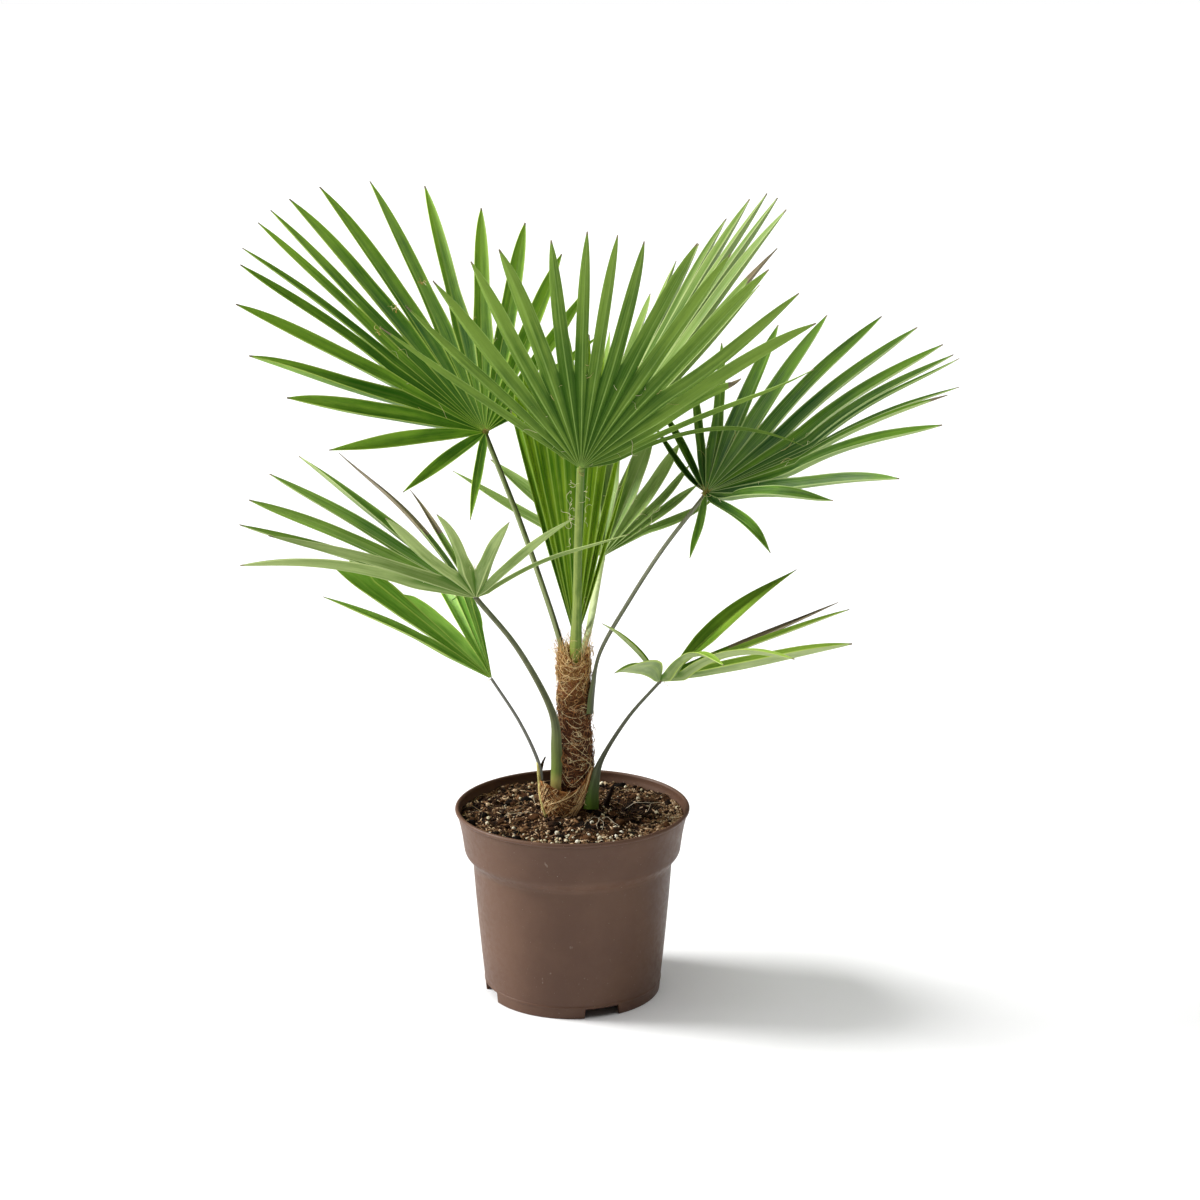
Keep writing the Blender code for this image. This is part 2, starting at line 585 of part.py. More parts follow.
def main():
    for old in list(bpy.data.objects):
        bpy.data.objects.remove(old)
    plastic = material("pot_plastic", (0.13, 0.082, 0.062), 0.5)
    peat = material("potting_soil", (0.035, 0.02, 0.012), 0.95)
    fibre = material("trunk_fibre", (0.2, 0.1, 0.04), 0.85)
    stalk_green = material("leaf_stalk", (0.1, 0.2, 0.03), 0.45)
    blade_green = material("leaf_blade", (0.06, 0.18, 0.02), 0.42)
    pearl = material("perlite", (0.75, 0.7, 0.6), 0.9)
    bark = material("bark", (0.16, 0.08, 0.04), 0.9)
    make_pot(plastic)
    make_soil(peat)
    make_trunk(fibre)
    make_dead_leaf_base(fibre)
    for name, leaf in LEAVES.items():
        make_stalk(name + "_stalk", leaf, stalk_green)
        make_blade(name + "_blade", leaf, blade_green)
    for number, (distance, heading, size) in enumerate(PERLITE, 1):
        make_lump(f"perlite_{number}", distance, heading, size, (1, 0.9, 0.8), pearl)
    for number, (distance, heading, size) in enumerate(BARK, 1):
        make_lump(f"bark_chip_{number}", distance, heading, size, (1, 0.4, 0.22), bark, turn=heading * 1.7)
    for body in bpy.data.objects:
        body.data.transform(Matrix.Translation((*POT_AXIS, 0)))


main()
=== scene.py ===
# %% [markdown]
# # A potted windmill palm
#
# This lesson dresses an imported model of a young windmill palm: a brown nursery pot, potting soil, a short
# trunk wrapped in fibre, and nine fan leaves on slender stalks. The imported model gives the size and place of
# every part. The first cell loads it and keeps its parts, so that their boxes can be read.

import bpy
import numpy as np
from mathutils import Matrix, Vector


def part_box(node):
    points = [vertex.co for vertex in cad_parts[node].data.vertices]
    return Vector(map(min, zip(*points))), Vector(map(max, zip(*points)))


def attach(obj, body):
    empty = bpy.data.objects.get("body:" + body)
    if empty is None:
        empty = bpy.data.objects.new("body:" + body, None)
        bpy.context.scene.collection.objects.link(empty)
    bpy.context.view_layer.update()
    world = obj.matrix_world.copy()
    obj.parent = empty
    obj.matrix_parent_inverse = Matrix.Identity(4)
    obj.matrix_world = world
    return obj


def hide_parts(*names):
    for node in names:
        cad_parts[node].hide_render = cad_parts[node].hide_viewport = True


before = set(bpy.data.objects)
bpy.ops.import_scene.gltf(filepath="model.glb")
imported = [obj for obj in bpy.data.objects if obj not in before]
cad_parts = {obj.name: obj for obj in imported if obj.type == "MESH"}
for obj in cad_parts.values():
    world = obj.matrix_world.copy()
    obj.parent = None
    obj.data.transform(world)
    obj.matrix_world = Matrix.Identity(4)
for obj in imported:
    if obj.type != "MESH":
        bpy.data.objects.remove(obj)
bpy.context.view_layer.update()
print("packed nodes:", len(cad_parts))

# %% [markdown]
# ## The pot's axis
#
# A potted plant is easiest to shape about the axis of its pot, with heights counted from the table. The
# packed pot says where that axis stands and how wide and tall the pot is. Every mesh below is worked out
# about the axis and moved there at the end, so each object stays at the origin, unturned and unscaled.

# %% Where the pot stands
MM = 0.001
pot_low, pot_high = (np.array(corner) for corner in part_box("pot"))
POT_AXIS = (pot_low + pot_high) / 2 * (1, 1, 0)
POT_HEIGHT = pot_high[2]
RIM_RADIUS = (pot_high[0] - pot_low[0]) / 2
print(f"pot: {2 * RIM_RADIUS / MM:.0f} mm across and {POT_HEIGHT / MM:.0f} mm tall")

# %% [markdown]
# ## Meshes from whole arrays
#
# Blender can take a mesh as flat arrays: the corners' places, then for each face which corners it joins.
# That is far faster than adding faces one by one, and it suits plants, where thousands of corners follow one
# formula.


# %% Arrays into a mesh
def faced_outwards(vertices, groups):
    """The faces, turned round when the volume that they close comes out negative.

    Volume x 6: for each face, the sum of corner 0 . (corner k x corner k + 1), all added up."""
    places = np.asarray(vertices) - np.mean(vertices, axis=0)
    volume = sum(
        np.sum(places[group[:, 0]] * np.cross(places[group[:, k]], places[group[:, k + 1]]))
        for group in groups for k in range(1, group.shape[1] - 1)
    )
    return [group[:, ::-1] for group in groups] if volume < 0 else groups


def add_piece(name, vertices, face_groups, finish, stands_for=None, uv=None, values=None, sharp=35):
    """An object from an (n, 3) array of places and a list of (m, corners) arrays of faces.

    uv is an (n, 2) array and values holds named numbers, both one for each vertex."""
    mesh = bpy.data.meshes.new(name)
    groups = faced_outwards(vertices, [np.asarray(group, np.int32) for group in face_groups if len(group)])
    corners = np.concatenate([group.ravel() for group in groups])
    sizes = np.concatenate([np.full(len(group), group.shape[1]) for group in groups])
    mesh.vertices.add(len(vertices))
    mesh.vertices.foreach_set("co", (np.asarray(vertices) + POT_AXIS).astype(np.float32).ravel())
    mesh.loops.add(len(corners))
    mesh.loops.foreach_set("vertex_index", corners)
    mesh.polygons.add(len(sizes))
    mesh.polygons.foreach_set("loop_start", np.concatenate([[0], np.cumsum(sizes)[:-1]]).astype(np.int32))
    mesh.update(calc_edges=True)
    if uv is not None:
        layer = mesh.uv_layers.new(name="UVMap")
        layer.data.foreach_set("uv", np.asarray(uv, np.float32)[corners].ravel())
    for key, numbers in (values or {}).items():
        mesh.attributes.new(key, "FLOAT", "POINT").data.foreach_set("value", np.asarray(numbers, np.float32))
    mesh.validate()
    if sharp:
        mesh.shade_smooth()
        mesh.set_sharp_from_angle(angle=np.radians(sharp))
    mesh.materials.append(finish)
    piece = bpy.data.objects.new(name, mesh)
    bpy.context.scene.collection.objects.link(piece)
    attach(piece, "root")
    if stands_for:
        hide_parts(*([stands_for] if isinstance(stands_for, str) else stands_for))
    print(f"{name}: {len(vertices)} vertices, {int((sizes - 2).sum())} triangles")
    return piece


tetrahedron = np.array([(0, 0, 0), (1, 0, 0), (0, 1, 0), (0, 0, 1)])
inside_out = np.array([(0, 1, 2), (0, 3, 1), (0, 2, 3), (1, 3, 2)])
print("a tetrahedron's faces, turned outwards:", faced_outwards(tetrahedron, [inside_out])[0].tolist())

# %% [markdown]
# Most shapes here are grids: rows of corners that follow a formula. Their faces depend only on the number of
# rows and columns. Grids that close round, like tubes, get a point at each end, so that nothing stays open.


# %% Faces of grids
def grid_faces(rows, columns, closed_rows=False, closed_columns=False):
    """Corner numbers of the four-sided faces of a grid, row by row; a closed direction wraps round."""
    row = np.arange(rows if closed_rows else rows - 1)[:, None]
    column = np.arange(columns if closed_columns else columns - 1)[None, :]
    here, there = row * columns, (row + 1) % rows * columns
    after = (column + 1) % columns
    return np.stack([here + column, here + after, there + after, there + column], axis=-1).reshape(-1, 4)


def capped_faces(rows, sides):
    """Face groups of a grid of rings, with one point before the first ring and one after the last.

    The two points are numbered after the grid's corners."""
    ring = np.arange(sides)
    after, last, count = (ring + 1) % sides, (rows - 1) * sides, rows * sides
    start = np.stack([np.full(sides, count), after, ring], axis=1)
    end = np.stack([np.full(sides, count + 1), last + ring, last + after], axis=1)
    return [grid_faces(rows, sides, closed_columns=True), np.concatenate([start, end])]


def close_ends(grid, low, high):
    """A grid of rings closed by a point at each end: vertices and face groups."""
    return np.concatenate([grid.reshape(-1, 3), [low, high]]), capped_faces(*grid.shape[:2])


def repeated(faces, step, copies):
    """The same faces for each copy, when a copy has `step` vertices."""
    faces = np.asarray(faces)
    return (faces + step * np.arange(copies)[:, None, None]).reshape(-1, faces.shape[1])


print("faces of a tube with 12 rings of 4 corners:", sum(len(group) for group in capped_faces(12, 4)))

# %% [markdown]
# ## Curves and natural randomness
#
# Two small tools shape everything that grew. A Catmull-Rom curve passes smoothly through a few points, so a
# bent stalk needs only three to six. Lattice noise gives random heights that change smoothly from place to
# place, like lumps in soil. Its random table is seeded, so that the plant is the same each time.


# %% A curve through points, and lattice noise
def curve_through(points, share):
    """Catmull-Rom curve: between two points a cubic whose end slopes are half the step between neighbours."""
    points = np.asarray(points, float)
    points = points[:, None] if points.ndim == 1 else points
    last = len(points) - 1
    place = np.asarray(share, float) * last
    first = np.clip(np.floor(place).astype(int), 0, last - 1)
    f = (place - first)[..., None]
    padded = np.concatenate([[2 * points[0] - points[1]], points, [2 * points[-1] - points[-2]]])
    a, b, c, d = (padded[first + step] for step in range(4))
    return 0.5 * (2 * b + (c - a) * f + (2 * a - 5 * b + 4 * c - d) * f**2 + (3 * b - a - 3 * c + d) * f**3)


def full_turn(sides):
    """Even angles once round."""
    return np.linspace(0, 2 * np.pi, sides, endpoint=False)


def unit(vectors):
    """The vectors scaled to a length of one."""
    return vectors / np.maximum(np.linalg.norm(vectors, axis=-1, keepdims=True), 1e-12)


def noise(points, size, seed):
    """Lattice noise: random numbers on a cubic lattice of the given size, blended smoothly in between."""
    draw = np.random.default_rng(seed)
    order = draw.permutation(256)
    value = draw.uniform(-1, 1, 256)
    place = np.asarray(points, float) / size
    cell = np.floor(place).astype(int)
    f = place - cell
    f = f * f * (3 - 2 * f)
    total = np.zeros(place.shape[:-1])
    for corner in np.ndindex(2, 2, 2):
        x, y, z = (cell[..., axis] + corner[axis] for axis in range(3))
        pick = order[(order[(order[x % 256] + y) % 256] + z) % 256]
        share = np.prod([f[..., axis] if corner[axis] else 1 - f[..., axis] for axis in range(3)], axis=0)
        total += share * value[pick]
    return total


def flat_noise(x, y, size, seed):
    """Lattice noise over a level surface."""
    return noise(np.stack(np.broadcast_arrays(x, y, 0.37 * size), axis=-1), size, seed)


sample = flat_noise(np.linspace(0, 99, 999), 0.0, 1, 1)
print(f"noise runs from {sample.min():.2f} to {sample.max():.2f}")

# %% [markdown]
# ## Threads
#
# Roots, coir, trunk fibres and the curly filaments on the leaves are all thin tubes, and most of them taper.
# One function makes many at once: a ring of corners is carried along each path, square to its direction, and
# both ends close in a point.


# %% Many thin tubes at once
def tubes(paths, radii, sides=4):
    """Vertices and face groups of closed tubes along (tubes, points, 3) paths with (tubes, points) radii.

    Corner k of a ring lies at the path point plus radius times (cos, sin) of k / sides turns, in two
    directions square to the path."""
    count, points = paths.shape[:2]
    along = unit(np.gradient(paths, axis=1))
    helper = np.where(np.abs(along[..., 2:]) > 0.8, (1.0, 0.0, 0.0), (0.0, 0.0, 1.0))
    across = unit(np.cross(along, helper))
    upward = np.cross(across, along)
    turn = full_turn(sides)[:, None]
    spoke = across[..., None, :] * np.cos(turn) + upward[..., None, :] * np.sin(turn)
    rings = paths[..., None, :] + radii[..., None, None] * spoke
    low = paths[:, 0] - along[:, 0] * radii[:, :1]
    high = paths[:, -1] + along[:, -1] * radii[:, -1:]
    vertices = np.concatenate([rings.reshape(count, -1, 3), np.stack([low, high], axis=1)], axis=1)
    groups = [repeated(faces, points * sides + 2, count) for faces in capped_faces(points, sides)]
    return vertices.reshape(-1, 3), groups


def add_tubes(name, paths, radii, look, tones, stands_for=None, sides=4):
    """Tubes as one piece, with a tone for each tube."""
    vertices, groups = tubes(paths, radii, sides)
    tone = np.repeat(tones, len(vertices) // len(paths))
    return add_piece(name, vertices, groups, look, stands_for, values={"tone": tone}, sharp=None)


print("a closed tube of 12 rings has", len(tubes(np.eye(12, 3)[None], np.ones((1, 12)))[0]), "corners")

# %% [markdown]
# ## Materials from nodes
#
# A material here is a small graph of nodes around a Principled BSDF. The helpers below add a node and wire
# it in one line, so that a finish reads like a recipe. Patterns that several finishes share are node groups:
# `mottle` gives soft blotches and fine grain, and `leaf lines` turns a leaflet's own coordinates into
# its midrib, its margins, its veins and its streaks.


# %% Helpers for nodes
def add_node(tree, kind, inputs=None, **settings):
    """A node whose settings and inputs are given; an input is a value or another node's output."""
    made = tree.nodes.new(kind)
    for key, setting in settings.items():
        setattr(made, key, setting)
    for socket, value in (inputs or {}).items():
        if isinstance(value, bpy.types.NodeSocket):
            tree.links.new(value, made.inputs[socket])
        else:
            made.inputs[socket].default_value = value
    return made


def blend_colours(tree, share, first, second):
    """The first colour where share is 0 and the second where it is 1."""
    return add_node(tree, "ShaderNodeMix", {0: share, 6: first, 7: second}, data_type="RGBA").outputs[2]


def ease(tree, value, low, high, start=0.0, end=1.0):
    """Goes smoothly from start to end as the value goes from low to high."""
    inputs = {"Value": value, "From Min": low, "From Max": high, "To Min": start, "To Max": end}
    return add_node(tree, "ShaderNodeMapRange", inputs, interpolation_type="SMOOTHSTEP").outputs[0]


def maths(tree, operation, first, second=0.0):
    """One arithmetic step."""
    return add_node(tree, "ShaderNodeMath", {0: first, 1: second}, operation=operation).outputs[0]


def grain(tree, vector, scale, detail=3.0, roughness=0.6):
    """Noise texture, from 0 to 1."""
    inputs = {"Vector": vector, "Scale": scale, "Detail": detail, "Roughness": roughness}
    return add_node(tree, "ShaderNodeTexNoise", inputs).outputs[0]


def stretch(tree, vector, scale):
    """The coordinates scaled by three factors."""
    return add_node(tree, "ShaderNodeMapping", {"Vector": vector, "Scale": scale}).outputs[0]


def times(tree, first, second):
    """The product of two values."""
    return maths(tree, "MULTIPLY", first, second)


def total(tree, first, *others):
    """All the values added up."""
    for other in others:
        first = maths(tree, "ADD", first, other)
    return first


def object_place(tree):
    """The place on the object, in metres."""
    return add_node(tree, "ShaderNodeTexCoord").outputs["Object"]


def mark(tree, key):
    """A number that the mesh carries for each vertex."""
    return add_node(tree, "ShaderNodeAttribute", attribute_name=key).outputs["Fac"]


tools = (add_node, blend_colours, ease, maths, times, total, grain, stretch, object_place, mark)
print("node helpers:", [tool.__name__ for tool in tools])

# %% [markdown]
# A finish starts from an empty material. A node group takes vectors or numbers and gives numbers, and it is
# placed in a material like any other node. Colours are written as paint charts give them, from 0 to 255.


# %% Materials, groups and colours
def new_finish(name):
    """An empty material: its node tree and its shader."""
    finish = bpy.data.materials.new(name)
    finish.use_nodes = True
    return finish, finish.node_tree, finish.node_tree.nodes["Principled BSDF"]


def new_group(name, inputs, outputs):
    """A node group that gives numbers: its tree, the sockets that bring its inputs, and its output node.

    An input is a number with a usual value, or a vector where None is given."""
    tree = bpy.data.node_groups.new(name, "ShaderNodeTree")
    for socket, value in inputs.items():
        kind = "NodeSocketVector" if value is None else "NodeSocketFloat"
        made = tree.interface.new_socket(socket, in_out="INPUT", socket_type=kind)
        if value is not None:
            made.default_value = value
    for socket in outputs:
        tree.interface.new_socket(socket, in_out="OUTPUT", socket_type="NodeSocketFloat")
    return tree, tree.nodes.new("NodeGroupInput").outputs, tree.nodes.new("NodeGroupOutput")


def place_group(tree, group, inputs):
    """A group placed in a material."""
    return add_node(tree, "ShaderNodeGroup", inputs, node_tree=group).outputs


def wire(tree, shader, shade, rough, height, strength, distance, gloss=None):
    """Colour and roughness into the shader, and a height pattern that bends the light on the surface."""
    bump = add_node(tree, "ShaderNodeBump", {"Height": height, "Strength": strength, "Distance": distance})
    for socket, output in (("Base Color", shade), ("Roughness", rough), ("Normal", bump.outputs[0])):
        tree.links.new(output, shader.inputs[socket])
    if gloss is not None:
        shader.inputs["Specular IOR Level"].default_value = gloss


def colour(red, green, blue):
    """A linear colour from the 0 to 255 values that a paint chart gives."""
    chart = np.array([red, green, blue]) / 255
    linear = np.where(chart <= 0.04045, chart / 12.92, ((chart + 0.055) / 1.055) ** 2.4)
    return (*linear.tolist(), 1.0)


print("linear value of a chart's 128:", round(colour(128, 128, 128)[0], 3))

# %% [markdown]
# `mottle` is two sizes of noise. `leaf lines` works in a leaflet's own coordinates: U runs across it and V
# along it, so stretching noise along V draws veins. Every share it gives runs from 0 to 1.

# %% The shared patterns
mottle, taken, given = new_group("mottle", {"Vector": None, "Size": 20.0}, ["Blotch", "Grain"])
mottle.links.new(grain(mottle, taken["Vector"], taken["Size"], detail=4.0), given.inputs["Blotch"])
finer = times(mottle, taken["Size"], 14.0)
mottle.links.new(grain(mottle, taken["Vector"], finer, detail=2.0), given.inputs["Grain"])

LINES = {"UV": None, "Tone": 0.0, "Rib width": 0.1, "Vein count": 13.0}
GIVEN = ["Rib", "Margin", "Side", "Vein", "Ragged", "Streak"]
leaf_lines, taken, given = new_group("leaf lines", LINES, GIVEN)
split_uv = add_node(leaf_lines, "ShaderNodeSeparateXYZ", {0: taken["UV"]}).outputs
centred = maths(leaf_lines, "SUBTRACT", times(leaf_lines, split_uv[0], 2.0), 1.0)
side_share = maths(leaf_lines, "ABSOLUTE", centred)
rib_line = ease(leaf_lines, side_share, taken["Rib width"], 0.0)
vein_count = taken["Vein count"]
own_place = {0: centred, 1: split_uv[1], 2: taken["Tone"]}
shifted = add_node(leaf_lines, "ShaderNodeCombineXYZ", own_place).outputs[0]
patterns = {
    "Rib": times(leaf_lines, rib_line, ease(leaf_lines, split_uv[1], 0.2, 0.7, 1.0, 0.35)),
    "Margin": ease(leaf_lines, side_share, 0.9, 0.985),
    "Side": side_share,
    "Vein": grain(leaf_lines, stretch(leaf_lines, shifted, (1.0, 0.05, 7.0)), vein_count, detail=2.0),
    "Ragged": grain(leaf_lines, stretch(leaf_lines, shifted, (3.0, 9.0, 5.0)), 3.0),
    "Streak": grain(leaf_lines, stretch(leaf_lines, shifted, (1.2, 1.6, 9.0)), 2.0, detail=3.0),
}
for socket, pattern in patterns.items():
    leaf_lines.links.new(pattern, given.inputs[socket])
print("node groups:", [group.name for group in bpy.data.node_groups])

# %% [markdown]
# ## The leaves: one surface for every leaflet
#
# A windmill palm's leaf is a fan. Near the stalk it is one pleated sheet, folded up at each seam between two
# leaflets and down at each midrib. Further out the seams are split and each leaflet is a free blade, folded
# like a shallow V, that narrows to a small dry tip.
#
# A fan could be modelled by hand, leaflet by leaflet, but nine fans hold well over a hundred leaflets. Here
# a leaflet is a function of two numbers: how far across it a point lies, and how far out from the hub. A
# table gives each leaf's stalk, aim and spread, and random draws give each leaflet its own twist and bend.
# The six upper leaves come first.

# %% The upper leaves
# stalk: points of its middle line from the sheath to the hub, in millimetres from the pot's axis.
# thick: half width and half depth of the stalk, at even places along it, in millimetres.
# heading, rise, roll: the fan's aim (0 is +X, 90 is +Y), how steeply it rises, and its turn about the aim.
# angles, lengths, lifts: of the leaflets, at even places across the fan; lengths in millimetres.
# sag: drop in millimetres at a reach of 200 mm. pleat: depth of the folds as a share of half a leaflet.
# broad: width of the leaflets beside the usual one. split: share of the length that is joined.
# cuts: where single folds split instead. faces: heading of the stalk's flat side, when it is not inwards.
# hub_shift: how far the hub stands out of the fan's own middle, in millimetres.
# quirks: what sets single leaflets apart, by their number from one side of the fan to the other.
# length, width: factors. bend, arch: sideways move of the tip and of the middle, in millimetres.
# drop, hump: how far the tip comes down and the middle goes up, in millimetres. twist: in degrees.
# swell: how much wider the middle is than the split. dry: share of the length that is dead.
USUAL = dict(length=1, width=1, bend=0, arch=0, drop=0, hump=0, twist=0, swell=0, dry=0.012)
LEAVES = {
    "left": dict(
        stalk=((-4.4, 2, 264), (-6.6, 2, 284), (-11.2, 3, 302), (-20.2, 6.5, 330), (-41, 22.5, 387),
               (-69, 50, 453)),
        thick=((3.4, 3), (2.9, 3.1), (2.8, 2.3)),
        heading=165, rise=29, roll=16, sag=2, leaflets=20, split=0.42, pleat=0.26, broad=1.04,
        angles=(107, 24, -13, -61, -107), lengths=(155, 222, 260, 266, 185),
        lifts=(10, 10, 11, 12, 13),
        quirks=dict(
            length={0: 1.03, 2: 1.03, 3: 0.97, 14: 0.97, 16: 0.98, 17: 0.96, 18: 0.8, 19: 0.7},
            width={0: 0.8, 12: 0.85, 13: 0.75, 14: 0.85},
            bend={1: 2, 2: 3, 4: -13, 5: -5, 6: 8, 8: 12, 9: 7, 10: -5, 11: -12, 12: -7, 13: -2, 14: 3,
                16: -4, 17: -7},
            hump={4: -3, 6: 4, 7: 2, 8: 4, 9: 1},
        ),
    ),
    "front": dict(
        stalk=((2, -7, 264), (3, -9, 292), (4, -20, 332), (5, -38, 390), (7, -60, 446)),
        thick=((2.6, 2.2), (4.8, 2.4), (3.6, 2.2), (3.2, 2), (3.2, 1.9)),
        heading=-54, rise=50, roll=21, sag=4, leaflets=17, split=0.43, pleat=0.2, broad=0.95,
        angles=(-73, -35, -8, 26, 73), lengths=(190, 228, 226, 220, 185),
        lifts=(16, 6, 7, 7, 11),
        cuts={8: 0.38},
        quirks=dict(
            length={0: 1.02, 5: 0.998, 8: 0.97, 14: 0.66, 15: 0.97},
            width={9: 0.9, 14: 1.3, 15: 0.7, 16: 0.6},
            bend={0: 6, 1: 9, 2: 7, 3: 6, 4: -4, 5: 2, 6: 3, 7: 1, 8: -5, 9: 4, 12: 1, 13: -4, 14: -4,
                15: -23},
            arch={15: 3, 16: -20},
            drop={14: -10, 15: -11, 16: 10},
            hump={12: -4, 13: 2, 14: 9, 15: 8, 16: 3},
            twist={14: 60, 15: 30},
            dry={0: 0.05, 1: 0.03, 2: 0.02, 14: 0.2},
        ),
    ),
    "right": dict(
        stalk=((14, -10, 236), (16.2, -6, 257), (22.3, 1, 285), (45, 12, 323), (73, 20, 365),
               (107, 25, 408.7)),
        thick=((4.4, 1.5), (5, 1.8), (3.8, 2.1), (2.6, 2.1), (2.5, 2), (2.5, 2)),
        heading=2, rise=18, roll=-15, sag=4, leaflets=18, split=0.42, pleat=0.26, broad=0.96,
        hub_shift=(-0.5, 0, 8.7),
        angles=(102, 59, 8, -18, -102), lengths=(105, 231, 233, 206, 136),
        lifts=(10, 10, 11, 11, 9),
        quirks=dict(
            length={0: 1.28, 1: 1.15, 3: 1.08, 4: 1.04, 5: 1.03, 6: 1.02, 9: 0.985, 12: 0.98, 14: 0.98,
                15: 0.95, 17: 0.8},
            width={0: 1.2, 2: 0.75, 3: 0.75, 12: 0.9, 13: 0.9, 14: 0.8, 15: 0.85, 16: 0.85},
            bend={0: 8, 1: -4, 3: -8, 4: 2, 5: -4, 6: -3, 7: -6, 8: -9, 9: -9, 10: -14, 11: -3, 12: -14,
                13: -13, 16: -9, 17: 5},
            arch={14: -5, 16: -9},
            drop={9: -5, 10: -8, 12: -2, 13: -2, 15: -17},
            hump={5: 2, 6: 6, 7: 7, 8: 7, 9: 9, 10: 10, 11: 5, 12: 8, 13: 8, 15: 10},
            dry={12: 0.07},
        ),
    ),
    "back_right": dict(
        stalk=((4, 7, 264), (5, 9, 292), (7, 16, 330), (9, 28, 377), (13, 40, 418)),
        thick=((2.4, 2.2), (2.6, 2.2), (2.6, 2)),
        heading=51, rise=38, roll=32, sag=3, leaflets=14, split=0.48, pleat=0.26, broad=1.04,
        angles=(47, 25, 4, -28, -56), lengths=(235, 258, 292, 287, 253),
        lifts=(6, 6, 6, 8, 5),
        quirks=dict(
            length={4: 0.96, 5: 0.99, 6: 0.96, 7: 0.97, 8: 0.97, 9: 0.96, 10: 0.96, 11: 0.97, 12: 0.93,
                13: 0.88},
            bend={4: -3, 5: -3, 6: -2, 9: 2, 10: 2, 11: 4, 12: 8, 13: -4},
            dry={12: 0.16},
        ),
    ),
    "back": dict(
        stalk=((8, 1, 264), (9, 3, 285), (14, 12, 303), (20, 42, 328), (25, 78, 344)),
        thick=((3.6, 2.4), (3.8, 2.4), (3, 2)),
        heading=84, rise=45, roll=5, sag=4, leaflets=12, split=0.5, pleat=0.22,
        angles=(62, 25, 4, -39, -62), lengths=(145, 116, 123, 116, 105),
        lifts=(10, 10, 10, 10, 10),
        quirks=dict(
            length={0: 1.04, 9: 0.94, 10: 0.9},
            bend={0: 6, 8: -7, 9: -8, 10: -1, 11: 5},
            arch={11: 5},
        ),
    ),
    "young": dict(
        stalk=((1, 0, 264), (2, 0, 278), (3, 2, 292)),
        thick=((2.2, 2), (2.4, 2.2), (2.6, 2.2)),
        heading=94, rise=87, roll=-4, sag=1, leaflets=10, split=0.62, pleat=0.3, faces=-90,
        angles=(14.8, 9, -1, -8, -17), lengths=(195, 238, 250, 222, 150),
        lifts=(0, 0, 0, 0, 0),
        cuts={1: 0.88, 2: 0.86, 3: 0.8},
        quirks={},
    ),
}
print("upper leaves:", list(LEAVES))

# %% [markdown]
# Three older leaves hang low. They have fewer leaflets, which spread far apart, and some are dry or bent, so
# their tables need more quirks.

